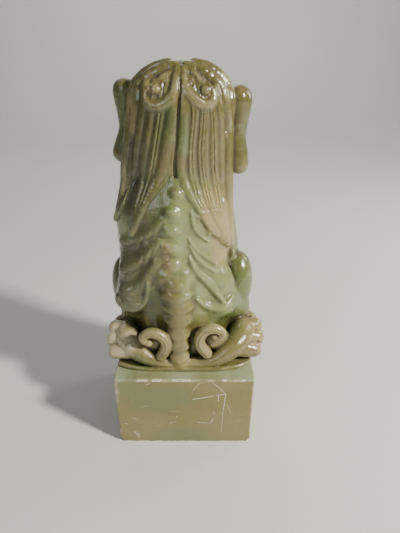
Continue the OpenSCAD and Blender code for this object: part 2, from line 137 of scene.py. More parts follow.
def slab(centre, half_width, half_depth, bottom, top, power=4.0, edge=1.2):
    """A flat plate with a rounded-square outline and softened edges."""
    low = [centre[0] - half_width, centre[1] - half_depth, bottom]
    high = [centre[0] + half_width, centre[1] + half_depth, top]

    def distance(x, y, z):
        u, v = np.abs(x - centre[0]) / half_width, np.abs(y - centre[1]) / half_depth
        near = (u ** power + v ** power) ** (1.0 / power)
        side = np.maximum((near - 1.0) * min(half_width, half_depth), np.abs(x) - SLAB_HALF_WIDTH) + edge
        ends = np.abs(z - (bottom + top) / 2) - (top - bottom) / 2 + edge
        outside = np.sqrt(np.maximum(side, 0.0) ** 2 + np.maximum(ends, 0.0) ** 2)
        return outside + np.minimum(np.maximum(side, ends), 0.0) - edge

    return low, high, distance


def curved(points, per_span=4):
    """The same control points joined by a smooth curve."""
    pts = np.array(points, dtype=float)
    padded = np.vstack([2 * pts[0] - pts[1], pts, 2 * pts[-1] - pts[-2]])
    out = []
    for i in range(1, len(padded) - 2):
        a, b, c, d = padded[i - 1:i + 3]
        for t in np.linspace(0.0, 1.0, per_span, endpoint=False):
            out.append(0.5 * (2 * b + (c - a) * t + (2 * a - 5 * b + 4 * c - d) * t ** 2
                              + (3 * b - 3 * c + d - a) * t ** 3))
    out.append(pts[-1])
    return [tuple(p[:3]) + (max(p[3], 0.2),) for p in out]


def stroke(points, per_span=4):
    """A smooth round stroke through the points."""
    return chain(curved(points, per_span))


def ring(centre, radii, thickness, plane="xz", start=0, end=360, step=15):
    """A round cord along an ellipse in one plane."""
    points = []
    for degrees in range(start, end + 1, step):
        c = radii[0] * math.cos(math.radians(degrees))
        s = radii[1] * math.sin(math.radians(degrees))
        offset = {"xz": (c, 0, s), "xy": (c, s, 0), "yz": (0, c, s)}[plane]
        points.append(tuple(centre[i] + offset[i] for i in range(3)) + (thickness,))
    return chain(points)


def flipped(points):
    """The same points on the other side of the lion."""
    return [(-p[0],) + tuple(p[1:]) for p in points]


def on_side(side, points):
    """Points given for the left side, as they are for side 1 or flipped for side -1."""
    return points if side > 0 else flipped(points)


# ---------- the block that is carved ----------

# A stroke laid on the rear stands out by at most this many of its radii.
MOST_RISE = 1.6
NOISE_CELLS = 32


def soft_min(a, b, k):
    """The smaller of two distances, rounded over where they come within k of each other."""
    if k <= 0:
        return np.minimum(a, b)
    h = np.maximum(k - np.abs(a - b), 0.0) / k
    return np.minimum(a, b) - h * h * k * 0.25


def soft_cut(a, b, k):
    return -soft_min(-a, b, k)


def as_list(shapes):
    return shapes if isinstance(shapes, list) else [shapes]


def span(low, high):
    """The index of a box of grid points."""
    return tuple(slice(a, b) for a, b in zip(low, high))


class Part:
    """The shapes that make up one CAD node, in the order they are added and cut."""

    def __init__(self, node, blend=1.5):
        self.node = node
        self.blend = blend
        self.steps = []

    def add(self, shapes, k=1.5):
        self.steps.append(("add", as_list(shapes), k))
        return self

    def cut(self, shapes, k=0.6):
        self.steps.append(("cut", as_list(shapes), k))
        return self

    def corners(self):
        added = [s for mode, shapes, _ in self.steps if mode == "add" for s in shapes]
        return np.min([s[0] for s in added], axis=0), np.max([s[1] for s in added], axis=0)


class Block:
    """A box of space that holds, at each grid point, the distance to the carved surface."""

    def __init__(self, low, high):
        self.low = np.array(low, dtype=float)
        self.count = np.ceil((np.array(high) - self.low) / STEP).astype(int) + 1
        self.field = np.full(self.count, FAR, dtype=np.float32)
        self.best = np.full(self.count, FAR, dtype=np.float32)
        self.owner = np.zeros(self.count, dtype=np.uint8)
        self.nodes = []

    def window(self, low, high, margin):
        a = np.floor((np.array(low) - margin - self.low) / STEP).astype(int)
        b = np.ceil((np.array(high) + margin - self.low) / STEP).astype(int) + 1
        return np.clip(a, 0, self.count), np.clip(b, 0, self.count)

    def axes(self, a, b):
        out = []
        for i in range(3):
            line = (self.low[i] + STEP * np.arange(a[i], b[i])).astype(np.float32)
            out.append(line.reshape([-1 if j == i else 1 for j in range(3)]))
        return out

    def distances(self, shapes, k):
        """The nearest distance to any of the shapes, over their common window."""
        margin = MARGIN + k
        corner_low = np.min([s[0] for s in shapes], axis=0)
        corner_high = np.max([s[1] for s in shapes], axis=0)
        a, b = self.window(corner_low, corner_high, margin)
        near = np.full(b - a, FAR, dtype=np.float32)
        for low, high, distance in shapes:
            p, q = self.window(low, high, margin)
            if (q <= p).any():
                continue
            where = span(p - a, q - a)
            near[where] = np.minimum(near[where], distance(*self.axes(p, q)))
        return a, b, near

    def carve(self, part):
        """Adds one part to the figure, blended into what is there, and notes where it is nearest."""
        low, high = part.corners()
        a, b = self.window(low, high, MARGIN + 4)
        local = np.full(b - a, FAR, dtype=np.float32)
        for mode, shapes, k in part.steps:
            p, q, near = self.distances(shapes, k)
            p2, q2 = np.maximum(p, a), np.minimum(q, b)
            if (q2 <= p2).any():
                continue
            inner = span(p2 - a, q2 - a)
            piece = near[span(p2 - p, q2 - p)]
            change = soft_min if mode == "add" else soft_cut
            local[inner] = change(local[inner], piece, k)
        where = span(a, b)
        self.field[where] = soft_min(self.field[where], local, part.blend)
        closer = local < self.best[where]
        self.best[where] = np.where(closer, local, self.best[where])
        if part.node not in self.nodes:
            self.nodes.append(part.node)
        self.owner[where] = np.where(closer, self.nodes.index(part.node), self.owner[where])

    def cut(self, shapes, k):
        """Cuts shapes out of everything carved so far."""
        a, b, near = self.distances(as_list(shapes), k)
        where = span(a, b)
        self.field[where] = soft_cut(self.field[where], near, k)
        self.best[where] = soft_cut(self.best[where], near, k)

    def look_from_behind(self, soften=2.0):
        """Notes how far back the stone reaches at every (x, z), for shapes to be laid on it."""
        solid = self.field < 0
        last = self.count[1] - 1 - np.argmax(solid[:, ::-1, :], axis=1)
        found = solid.any(axis=1)
        last = np.clip(last, 0, self.count[1] - 2)
        near = np.take_along_axis(self.field, last[:, None, :], axis=1)[:, 0]
        beyond = np.take_along_axis(self.field, last[:, None, :] + 1, axis=1)[:, 0]
        part_way = np.clip(near / np.minimum(near - beyond, -1e-3), 0, 1)
        depth = np.where(found, self.low[1] + STEP * (last + part_way), 0.0)
        weight = found.astype(float)
        n = max(1, int(round(soften / STEP)))
        depth, weight = (smooth_plane(smooth_plane(v, n), n) for v in (depth * weight, weight))
        self.rear = np.where(weight > 1e-3, depth / np.maximum(weight, 1e-3), 0.0)

    def rear_y(self, x, z):
        i = int(np.clip(round((x - self.low[0]) / STEP), 0, self.count[0] - 1))
        k = int(np.clip(round((z - self.low[2]) / STEP), 0, self.count[2] - 1))
        return float(self.rear[i, k])

    def lay(self, points, rise, per_span=5, least=-99.0):
        """A smooth stroke through (x, z, radius) that lies on the rear and stands out by rise."""
        flat = curved([(x, 0.0, z, r) for x, z, r in points], per_span)
        line = []
        for x, _, z, r in flat:
            y = max(least, self.rear_y(x, z)) - r + min(rise, MOST_RISE * r)
            line.append((x, y, z, r))
        return chain(line)

    def blurred(self, radius):
        """The field averaged over a small box: above 0 on edges and below 0 in grooves."""
        out = np.clip(self.field, -radius * 1.5, radius * 1.5)
        n = max(1, int(round(radius / STEP)))
        for axis in range(3):
            for _ in range(2):
                out = running_mean(out, n, axis).astype(np.float32)
        return out

    def sample(self, values, points):
        """Values of a grid at points, smoothly between grid points."""
        place = np.clip((points - self.low) / STEP, 0, self.count - 1.001)
        base = np.floor(place).astype(int)
        i, j, k = base.T
        return add_corners(np.zeros(len(points)), (place - base).T,
                           lambda dx, dy, dz: values[i + dx, j + dy, k + dz])

    def skin(self):
        """The surface as points and quads, with the faces turned outward."""
        grid = openvdb.FloatGrid(FAR)
        grid.copyFromArray(np.clip(self.field, -FAR, FAR))
        grid.transform = openvdb.createLinearTransform(voxelSize=STEP)
        points, quads = grid.convertToQuads(0.0)
        points = np.array(points, dtype=float) + self.low
        quads = np.array(quads, dtype=int)
        a, b, c = points[quads[:, 0]], points[quads[:, 1]], points[quads[:, 2]]
        if np.einsum("ij,ij->i", a, np.cross(b, c)).sum() < 0:
            quads = quads[:, ::-1]
        return points, quads


def running_mean(values, n, axis):
    """The mean of the 2n + 1 values round each value along one axis."""
    pad = [(n + 1, n) if i == axis else (0, 0) for i in range(values.ndim)]
    total = np.cumsum(np.pad(values, pad, mode="edge"), axis=axis, dtype=np.float64)
    length = values.shape[axis]
    upper = np.take(total, np.arange(2 * n + 1, 2 * n + 1 + length), axis=axis)
    lower = np.take(total, np.arange(length), axis=axis)
    return (upper - lower) / (2 * n + 1)


def smooth_plane(values, n):
    """The plane averaged over squares of 2n + 1 points."""
    return running_mean(running_mean(values, n, 0), n, 1)


def add_corners(out, shares, value_at):
    """Adds the values at a cell's eight corners to out, each by its share of the way along."""
    u, v, w = shares
    for dx, dy, dz in itertools.product((0, 1), repeat=3):
        weight = (u if dx else 1 - u) * (v if dy else 1 - v)
        weight = weight * (w if dz else 1 - w)
        out += weight * value_at(dx, dy, dz)
    return out


def rough(x, y, z, size, seed):
    """Smooth noise from -1 to 1 with lumps of about this size, the same on every run."""
    n = NOISE_CELLS
    table = np.random.RandomState(seed).uniform(-1, 1, (n, n, n)).astype(np.float32)
    shape = np.broadcast_shapes(x.shape, y.shape, z.shape)
    cells, mixes = [], []
    for line in (x, y, z):
        place = line / size + 400.0
        base = np.floor(place)
        t = (place - base).astype(np.float32)
        cells.append(base.astype(int))
        mixes.append(t * t * (3 - 2 * t))
    i, j, k = cells
    return add_corners(np.zeros(shape, dtype=np.float32), mixes,
                       lambda dx, dy, dz: table[(i + dx) % n, (j + dy) % n, (k + dz) % n])


# ---------- hair ----------

MIDDLE_GROOVES = [
    [(0.4, 286), (1, 268), (4, 247), (8.4, 230), (14, 217.4), (24, 207), (34, 189)],
    [(6, 286), (9, 268), (13.4, 247), (17.6, 230), (23.4, 216), (28.8, 205), (35, 188)],
    [(13, 284), (15.5, 267), (19.5, 247), (22.8, 230), (26.8, 215), (31, 203), (37, 183)],
    [(18, 283), (20.5, 267), (25, 247), (28, 230), (30.6, 216), (34.2, 204), (38.4, 182)],
]
OUTER_GROOVES = [
    [(18, 283), (20.5, 267), (25, 247), (29, 230), (36, 216), (42, 204), (51, 190)],
    [(24, 280), (26, 267), (31, 247), (35, 230), (39.3, 216), (43.8, 204), (51.3, 189.5)],
    [(29, 277), (32, 265), (36, 247), (39.8, 230), (42, 216), (45.6, 204), (51.6, 189)],
    [(34, 272), (36.5, 264), (39.5, 247), (42.8, 230), (44.6, 216), (47.6, 204), (52, 188.5)],
]
RIGHT_GROOVES = [
    [(0.2, 286), (1, 268), (2.8, 247), (2.8, 230), (-1.6, 216), (-9.4, 204.6), (-22, 184)],
    [(-3.5, 285), (-5, 268), (-3.8, 247), (-2.2, 230), (-6, 214), (-13, 202), (-23, 182)],
    [(-9, 284), (-11, 267), (-8.8, 247), (-9.2, 230), (-12, 214), (-17, 201), (-27, 180)],
    [(-15, 283), (-17.5, 266), (-16.8, 247), (-17.3, 230), (-19.5, 216), (-23, 202), (-31.5, 172)],
    [(-19, 281), (-22, 265), (-23.3, 247), (-24, 230), (-26, 214), (-28, 200), (-34.6, 168)],
    [(-24, 279), (-27, 262), (-28.5, 247), (-29, 230), (-30, 214), (-31.5, 200), (-37, 168)],
    [(-30, 276), (-33.5, 262), (-34.4, 247), (-34.6, 230), (-35.5, 214), (-36, 200), (-38.4, 169)],
]
LEFT_CROWN = [
    [(1.6, 292, 3), (2.2, 287, 4), (2.8, 281, 4.8), (5.2, 275.6, 5.2), (10.6, 271.6, 5.2),
     (17, 270.6, 4.6),
     (21.4, 273.6, 3.8), (21.6, 278.4, 3.2), (18.4, 281.4, 2.6)],
    [(4, 291.4, 1.6), (8, 288.8, 2.4), (12.2, 285.8, 2.6), (15.6, 282.6, 2.4)],
    [(3, 293.4, 4), (10, 291.8, 4.8), (18, 288.4, 5.2), (25, 283.6, 5), (30.4, 275.6, 4.2),
     (33.2, 266.6, 2.6)],
    [(8, 294.6, 4.4), (17, 292, 5), (25.4, 286.6, 5), (31.4, 280.4, 4.6), (35, 271, 3.8),
     (37, 261, 1.8)],
]
RIGHT_CROWN = [
    [(-2, 292, 3), (-2.4, 287, 4), (-2.8, 282.6, 4.6), (-5.4, 277.4, 5), (-10.2, 273.2, 5.2),
     (-15.8, 271.2, 4.8),
     (-20.2, 273.6, 4), (-21, 278, 3.2), (-18.6, 281.4, 2.6)],
    [(-6.4, 291.4, 1.8), (-9.6, 288.4, 2.6), (-12.6, 285.2, 2.6), (-15, 282, 2.2)],
    [(-4, 293.4, 4), (-11, 291.6, 4.8), (-18.4, 287.6, 5), (-25, 282.2, 4.6), (-28.6, 274, 3.8),
     (-30, 266, 2.4)],
    [(-9, 294.6, 4.4), (-18, 292, 5), (-25.4, 287, 5), (-30.6, 281, 4.6), (-33, 272, 4), (-33, 262, 3.4),
     (-31.6, 255, 2.6), (-29.6, 250, 1.4)],
]
LOCK_RISE = 1.8
BAND_RISE = 2.4
HAIR_SIDE_Y = 4.0
SCROLL_RISE = 3
SCROLL_KNOBS = [(15.6, 280.4), (-15.8, 279.8)]
# Strand lines on the crown stay below this height.
CROWN_LINE_TOP = 289
PARTING = [(-0.1, 286, 0.7), (0.2, 280, 0.8), (0.6, 273, 0.8), (1.2, 266, 0.8), (3.2, 247, 0.8),
           (4.2, 239, 0.9), (4.6, 231, 1.2), (4.6, 225, 1.5)]


def between(first, second, swell=1.62):
    """The lock of hair that fills the space between two grooves."""
    out = []
    for (x1, z1), (x2, z2) in zip(first, second):
        half = 0.5 * math.hypot(x2 - x1, z2 - z1)
        out.append((0.5 * (x1 + x2), 0.5 * (z1 + z2), max(0.9, half * swell)))
    return out


def locks_between(grooves):
    return [between(a, b) for a, b in zip(grooves, grooves[1:])]


def beside(lock, share):
    """A line along a lock, off its middle by a share of its half width."""
    return [(x + share * r, z, 0.5) for x, z, r in lock]


def mane_core(node, side):
    """The rounded mass of hair on one side, which the locks are laid on."""
    part = Part(node, 2)
    part.add(ellipsoid((side * 5, -5, 269.4), (28, 24, 27.6)), 2)
    part.add(ellipsoid((side * 2, -6, 285), (15, 18, 13.4)), 2)
    part.add(stroke([(0.5, -2, 268, 21.4), (2, -2, 250, 21.4), (4, -3, 232, 20)]), 3)
    part.add(stroke([(side * 13.6, -4, 270, 20.4), (side * 13.6 + 1.6, -4, 250, 19.8),
                     (side * 13 + 2, -6, 228, 19)]), 3)
    part.add(stroke([(side * 8 + 1, -3, 268, 20), (side * 9 + 1.6, -3, 250, 20),
                     (side * 10 + 2, -3, 230, 19.5)]), 3)
    part.add(stroke([(side * 19 + 1, -6, 262, 15.5), (side * 19 + 1.6, -6, 246, 15.5),
                     (side * 20 + 2, -5, 226, 15.5)]), 3)
    part.add(stroke([(side * 27 + 3, -8, 230, 9), (side * 30 + 4, -6, 208, 8)]), 4)
    return part


def mane(block, node, grooves, locks):
    """Flat locks laid side by side over a thin web that closes the gaps between them."""
    part = Part(node, 0.5)
    for groove in grooves:
        part.add(block.lay([(x, z, 2.2) for x, z in groove], 0.6, least=HAIR_SIDE_Y - 1), 0.8)
    for lock in locks:
        part.add(block.lay(lock, LOCK_RISE, least=HAIR_SIDE_Y), 0.8)
    return part


def comb_lines(block, combed):
    """Fine strand lines along the locks, laid on the hair as it now stands."""
    lines = []
    for lock, shares in combed:
        for share in shares:
            lines += block.lay(beside(lock, share)[:-1], 0.5)
    return lines


def crown(block, node, bands, knob):
    """The bands that fan out from the crown; the first one curls up into a scroll with a knob."""
    part = Part(node, 0.6)
    for band in bands[1:]:
        part.add(block.lay(band, BAND_RISE), 1.0)
    part.add(block.lay(bands[0], SCROLL_RISE), 0.5)
    x, z = knob
    part.add(ellipsoid((x, block.rear_y(x, z) + 1.4, z), (3.4, 3.0, 3.2)), 0.5)
    return part


def crown_lines(block, bands):
    """Strand lines cut along each band."""
    lines = []
    for index, band in enumerate(bands):
        rise = SCROLL_RISE if index == 0 else BAND_RISE
        for share in (-0.45, 0.0, 0.45) if index != 1 else (0.0,):
            points = []
            for a, b in zip(band[:-1], band[1:]):
                dx, dz = b[0] - a[0], b[1] - a[1]
                off = share * a[2] / math.hypot(dx, dz)
                points.append((a[0] - dz * off, a[1] + dx * off, 0.5))
            radius = 0.5 * (band[0][2] + band[2][2])
            points = [point for point in points if point[1] < CROWN_LINE_TOP]
            if len(points) > 1:
                lines += block.lay(points, rise + 0.25 - 0.55 * share * share * radius)
    return lines


# ---------- body and hind quarters ----------

BODY_SLICES = [
    (70, 0, -2, 40, 33), (84, 0, -1, 39, 33), (104, 1, 0, 39, 33), (126, 5.4, -1, 40, 31.6),
    (146, 8.4, -2.4, 43, 30.4), (166, 7.8, -5, 45, 29.8), (185, 7.4, -6.5, 46, 28.8),
    (203, 6, -8, 43, 28), (214, 4, -8, 38, 26), (232, 2, -8, 31, 23),
]
SPINE_KNOBS = [(3.8, 213.6, 4.6), (7.6, 200.6, 5.2), (8.2, 187, 5.6), (8.2, 173.4, 5.6), (8, 160.6, 5.8)]
TAIL_BEADS = [(5.6, 137, 11.8), (4.4, 126.4, 10.9), (4.2, 115.6, 9.8), (4.2, 104.4, 8.8),
              (3.8, 93.6, 7.8), (3.6, 84, 7)]
LEFT_HEMS = [
    [(14, 193.6), (19, 185.6), (27, 178.6), (36, 174), (45, 170)],
    [(16.4, 177), (21.4, 168.6), (28.2, 161.4), (37, 154), (46, 149)],
    [(20, 160), (25.2, 149), (31, 139.6), (39, 134), (47, 132)],
]
RIGHT_RIDGES = [
    ([(-6.6, 200, 0.9), (-8.2, 191, 1.6), (-12, 184, 1.8), (-18.4, 177.6, 1.1)], 1.5),
    ([(-8, 198, 0.7), (-13.4, 196, 1.1), (-17.6, 191.4, 1.3), (-19.8, 184, 1.3),
      (-18.6, 178.4, 0.9)], 1.2),
    ([(-5, 180, 1), (-9.6, 171.8, 2), (-16.6, 164.8, 2.2), (-25, 157.6, 1.1)], 1.5),
    ([(-5.4, 174.6, 0.9), (-9.8, 166, 1.6), (-16.6, 158, 1.7), (-24, 151.6, 0.9)], 1.3),
    ([(-5, 166, 1.2), (-9.8, 155, 2.8), (-18.2, 144, 3.6), (-24, 136.4, 3.5), (-31, 127, 1.6)], 2.6),
]
HEM_RADII = (2, 3.4, 3.8, 3.8, 3.4)
HEM_CREASE_RADII = (0.3, 0.5, 0.6, 0.7, 0.6)
HAUNCH_ARCS = {
    "left_haunch": ([(53, 130, 1.2), (48, 123.6, 2), (40.4, 120.4, 2.3), (33.4, 124, 2.2),
                     (29.4, 132, 1.8), (27.4, 146, 1)], 0.9),
    "right_haunch": ([(-10.6, 132, 1.4), (-15.6, 125.4, 2.8), (-23, 121.6, 3.3),
                      (-31, 121.8, 3.1), (-39, 128, 1.5)], 1.9),
}
# Each haunch: node, side, then knee, bulge and lobe as ellipsoids, and the two ends of the flank.
HAUNCHES = [
    ("left_haunch", 1, ((50, -14, 122), (13.6, 16, 28), 4), ((37, 7.5, 138), (16, 13, 32)),
     ((40, 12.6, 125.6), (16.6, 14.6, 12.6)), ((38, 2, 130, 18), (39, -4, 112, 17))),
    ("right_haunch", -1, ((-43.4, -12, 124.4), (14.6, 17, 30), -5), ((-25, 8, 131), (16.4, 13, 26)),
     ((-26, 12, 118.6), (17, 13.6, 12.4)), ((-30, 2, 120, 17), (-36, -4, 110, 16))),
]
# The scalloped lip of a tail roll: share of the half width, how far back, how far up, radius.
TAIL_LIP = [(-0.8, 2.4, -0.2, 1.6), (-0.42, 4.0, -1.8, 2.1), (0, 4.6, -2.4, 2.3),
            (0.42, 4.0, -1.8, 2.1), (0.8, 2.4, -0.2, 1.6)]


def torso():
    part = Part("torso", 1.5)
    part.add(column(BODY_SLICES))
    part.add(ellipsoid((8, 2, 192), (38, 20, 26)), 10)
    part.add(ellipsoid((3, -16, 178), (28, 22, 26)), 8)
    return part


def spine(block):
    """A soft ridge down the back with a row of low knobs, ending in a boss over the tail."""
    part = Part("spine_ridge", 5)
    part.add(block.lay([(4, 219, 7), (7, 200, 12), (8, 176, 14), (7, 152, 14)], 1), 4)
    for x, z, r in SPINE_KNOBS:
        part.add(ellipsoid((x, block.rear_y(x, z) + 0.6, z), (r, 3.8, r * 0.8)), 2)
    boss_y = block.rear_y(7, 149)
    part.add(ellipsoid((7, boss_y - 3, 150), (14, 6.6, 7.6)), 4)
    for dx, dz in ((-8.6, 0), (-4, -2.6), (1.4, -1), (5.6, -3.2), (9.6, 0.6), (-1, 3.6), (5, 3)):
        part.add(ellipsoid((7 + dx, boss_y + 2 - abs(dx) * 0.2, 148 + dz), (2.4, 1.9, 2.2)), 1.6)
    return part


def tail():
    """A tapering column of soft rolls, each with a scalloped lower lip."""
    part = Part("tail", 3)
    part.add(stroke([(5.6, 24.4, 141, 11), (4.4, 26.8, 126, 10.2), (4.2, 29.6, 110, 9), (3.8, 32, 94, 8),
                     (3.6, 33, 78, 8)]), 1)
    for index, (x, z, half) in enumerate(TAIL_BEADS):
        y = 28.6 + index * 1.25
        part.add(ellipsoid((x, y, z), (half, 7 - index * 0.25, 6)), 2.6)
        part.add(stroke([(x + half * u, y + v, z + w, r) for u, v, w, r in TAIL_LIP]), 2.6)
    return part


def ribs(node, shapes, blend):
    part = Part(node, blend)
    part.add(shapes, 1)
    return part


def left_ribs(block):
    """Three folds of the hide, each with a rolled hem that overhangs the next."""
    shapes = []
    for hem in LEFT_HEMS:
        shapes += block.lay([(x + 0.6, z + r * 0.8, r) for (x, z), r in zip(hem, HEM_RADII)], 1.5)
    return ribs("left_ribs", shapes, 5)


def hem_creases(block):
    """The dark line under each of the two upper hems."""
    lines = []
    for hem in LEFT_HEMS[:2]:
        lines += block.lay([(x, z - 0.6, r) for (x, z), r in zip(hem, HEM_CREASE_RADII)], 0.9)
    return lines


def hem_folds(block):
    """Shallow pleats that run down each fold of the hide."""
    lines = []
    for x, z, length in ((24, 178, 8), (31, 173, 8), (25, 163, 9), (32, 156, 9)):
        lines += block.lay([(x - 2.4, z + length, 0.4), (x - 0.8, z + length * 0.5, 0.5),
                            (x + 1.4, z, 0.4)], 0.6)
    return lines


def right_ribs(block):
    shapes = []
    for points, rise in RIGHT_RIDGES:
        shapes += block.lay(points, rise)
    return ribs("right_ribs", shapes, 1.6)


def haunch(node, side, knee, bulge, lobe, flank):
    part = Part(node, 5)
    part.add([capsule(*flank)], 2)
    part.add(ellipsoid(*bulge), 4)
    part.add(ellipsoid(*lobe), 3)
    part.add(ellipsoid(*knee), 2)
    shin = [(43, -8, 104, 14), (46, -5, 92, 11)]
    part.add(stroke(on_side(side, shin)), 3)
    return part


def haunch_arcs(block, node):
    """The curved ridge that closes the haunch below."""
    return Part(node, 1.8).add(block.lay(*HAUNCH_ARCS[node]), 0.5)


def hind_foot(node, side, lift):
    """The foot lies along the rear edge, thin by the tail and broad at the toes, which turn outward."""
    part = Part(node, 1.4)
    foot = [(side * 3, 34.4, 75.6, 4.4), (16, 34.6, 76.2, 4.8), (27, 33.6, 79, 6.2),
            (36, 30.4, 83 + lift * 0.4, 8.2), (44, 24, 86.6 + lift * 0.8, 9.8),
            (49, 12, 88 + lift, 10.8), (47, -3, 85, 11)]
    toes = [
        [(46, 26, 82.6 + lift * 0.6, 8), (57.4, 24.6, 79.6 + lift * 0.6, 6.8)],
        [(48, 17.6, 87 + lift, 8), (60, 16, 85.4 + lift, 6.9)],
        [(49, 8.6, 90 + lift, 8), (59.6, 7, 91 + lift, 6.7)],
        [(48, 0, 89 + lift, 8), (56.4, -1.6, 91.4 + lift, 6.2)],
    ]
    claws = [
        [(61.8, 25, 79 + lift * 0.6, 2.7), (62.6, 24.8, 74.8 + lift * 0.6, 1.4)],
        [(64.2, 16.2, 84.4 + lift, 2.7), (65, 16, 79.4 + lift, 1.3)],
        [(63.6, 7, 90 + lift, 2.6), (64.8, 6.8, 85 + lift, 1.3)],
    ]
    part.add(stroke(on_side(side, foot)), 1)
    for line in toes + claws:
        part.add(stroke(on_side(side, line)), 0.6)
    for y, z in ((21.2, 91), (12.2, 96), (3, 98)):
        gap = [(46, y + 0.8, z + lift, 0.8), (55, y, z - 2 + lift, 1.4),
               (64, y - 0.4, z - 9 + lift, 1.5)]
        part.cut(stroke(on_side(side, gap)), 0.8)
    return part


LEFT_VOLUTE = [(18.6, 83.6, 4.4), (15.4, 89, 4.6), (13.8, 95.6, 4.6), (16, 102.4, 4.5),
               (21.4, 106.4, 4.3), (27.4, 106.6, 4), (31.8, 103, 3.6), (31.6, 98.6, 3.3),
               (28.2, 97.4, 3.4)]
RIGHT_VOLUTE = [(-18.4, 86, 4.4), (-14.6, 91.6, 4.6), (-12.4, 98.4, 4.6), (-14, 105.6, 4.5),
                (-18.8, 110.2, 4.3), (-24.8, 110.8, 4), (-29.6, 107.8, 3.6), (-30, 103.4, 3.3),
                (-27, 101.2, 3.1), (-24.6, 103, 2.8)]


def volute(node, path, wall_x, wall_z):
    """A hooked lock beside the tail that ends in a knob, grooved along its ridge."""
    points = [(x, 36 + 1.6 * math.sin(i * 0.4), z, r) for i, (x, z, r) in enumerate(path)]
    part = Part(node, 0.8)
    part.add(stroke(points, 5))
    part.add(ellipsoid((wall_x, 24, wall_z - 6), (14, 9, 11)), 1)
    x, y, z, r = points[-1]
    part.add(ellipsoid((x, y + 0.8, z), (r + 0.2, r, r)), 0.4)
    for share in (-0.30, 0.34):
        ridge = []
        for a, b in zip(points[:-2], points[1:-1]):
            dx, dz = b[0] - a[0], b[2] - a[2]
            length = math.hypot(dx, dz)
            off = share * a[3]
            ridge.append((a[0] - dz / length * off, a[1] + a[3] * 0.95, a[2] + dx / length * off, 0.55))
        part.cut(stroke(ridge, 5), 0.6)
    return part


# ---------- fore quarters ----------

LEFT_FORELEG = [(37, -9, 185, 16), (39, -17, 160, 13), (36, -25, 130, 10.5), (32, -31, 104, 9.2),
                (31, -34, 88, 9)]
RIGHT_FORELEG = [(-25, -10, 184, 15), (-32, -18, 160, 13), (-34, -25, 136, 10.5), (-32, -30, 120, 9.4),
                 (-31, -33, 108, 8.6)]


def foreleg(node, points, side):
    part = Part(node, 3)
    part.add(stroke(points), 1)
    part.add(ellipsoid((side * 30 + 3, -19, 186), (13, 14, 19)), 6)
    elbow = points[1]
    for drop in (0, 9, 18):
        z = elbow[2] - 6 - drop
        part.add(stroke([(elbow[0] + side * 7, elbow[1] + 8, z + 6, 2.4),
                         (elbow[0] + side * 7.6, elbow[1] + 11, z, 2.6),
                         (elbow[0] + side * 4, elbow[1] + 12.5, z - 5, 1.4)]), 1.2)
    return part


def front_paw(node, x, y, z):
    part = Part(node, 1)
    part.add(ellipsoid((x, y, z), (11.6, 9.6, 8.6)), 1)
    for i in (-1.5, -0.5, 0.5, 1.5):
        tip = y - 8.8 + abs(i) * 1.4
        part.add(stroke([(x + i * 5, y - 3, z + 0.6, 4.4), (x + i * 5.8, tip, z - 1.6, 4.4),
                         (x + i * 6, tip - 0.8, z - 4.4, 3.6)]), 0.5)
        part.add(stroke([(x + i * 6, tip - 3, z - 3.6, 1.9), (x + i * 6, tip - 3.6, z - 7.4, 1)]), 0.5)
    return part


BALL_CENTRE = (-31.2, -30.7, 87.3)
BALL_R = 15.2
HOOP_R = 15.1


def brocade_ball():
    """The ball under the right forepaw, bound with raised hoops."""
    part = Part("brocade_ball", 0.6)
    part.add(ellipsoid(BALL_CENTRE, (BALL_R, BALL_R, BALL_R)), 0)
    bx, by, bz = BALL_CENTRE
    for turn in range(0, 180, 45):
        c, s = math.cos(math.radians(turn)), math.sin(math.radians(turn))
        hoop = []
        for degrees in range(0, 361, 15):
            a = math.radians(degrees)
            out = HOOP_R * math.cos(a)
            hoop.append((bx + out * c, by + out * s, bz + HOOP_R * math.sin(a), 0.8))
        part.add(chain(hoop), 0.8)
    for level in (-8.6, 0, 8.6):
        r = math.sqrt(HOOP_R ** 2 - level ** 2)
        part.add(ring((bx, by, bz + level), (r, r), 0.7, "xy"), 0.8)
    return part


def collar():
    part = Part("collar", 0.8)
    for lift, r, out in ((0, 2.8, 0), (3.8, 1.9, 0.4), (-3.6, 1.6, 0)):
        points = []
        for degrees in range(160, 381, 10):
            a = math.radians(degrees)
            points.append((3 + (36.6 + out) * math.cos(a), -13 + (27.6 + out) * math.sin(a),
                           205 + lift + 7 * math.sin(a), r))
        part.add(chain(points), 0.4)
    return part


def bell():
    part = Part("bell", 0.5)
    part.add(ellipsoid((3, -42.4, 187), (6.4, 6.4, 6.2)), 0)
    part.add(ring((3, -42.4, 187.6), (6.3, 6.3), 0.8, "xy"), 0.4)
    part.add(stroke([(3, -42, 192.6, 2.2), (3, -41, 198, 2.4)]), 0.6)
    part.cut(stroke([(-2, -48.6, 183.8, 0.7), (3, -49.6, 183.2, 0.7), (8, -48.6, 183.8, 0.7)]), 0.3)
    return part


# ---------- head ----------

def head():
    part = Part("head", 1.5)
    part.add(ellipsoid((0, -11, 262), (32, 27, 29)), 2)
    part.add(ellipsoid((0, -12, 234), (28, 22, 20)), 6)
    part.add(ellipsoid((0, -24, 279), (24, 13, 13)), 5)
    for side in (-1, 1):
        part.add(ellipsoid((side * 20, -24, 256), (11, 11, 12)), 4)
    return part


def muzzle():
    part = Part("muzzle", 2.2)
    part.add(ellipsoid((0, -34, 254), (16, 12, 9.6)), 1)
    for side in (-1, 1):
        part.add(ellipsoid((side * 8, -38, 252.6), (8.6, 8, 7)), 2)
        part.add(stroke([(side * 4, -42, 249.6, 4.4), (side * 13, -37, 248, 4.6),
                         (side * 20, -27, 244, 4.4),
                         (side * 22, -21, 236, 3.6)]), 1.6)
        for row in range(3):
            for col in range(3):
                part.cut(ellipsoid((side * (6 + col * 3.2), -46.4 + col * 1.5, 254.6 - row * 2.6),
                                   (0.6, 1.4, 0.6)), 0.4)
    return part


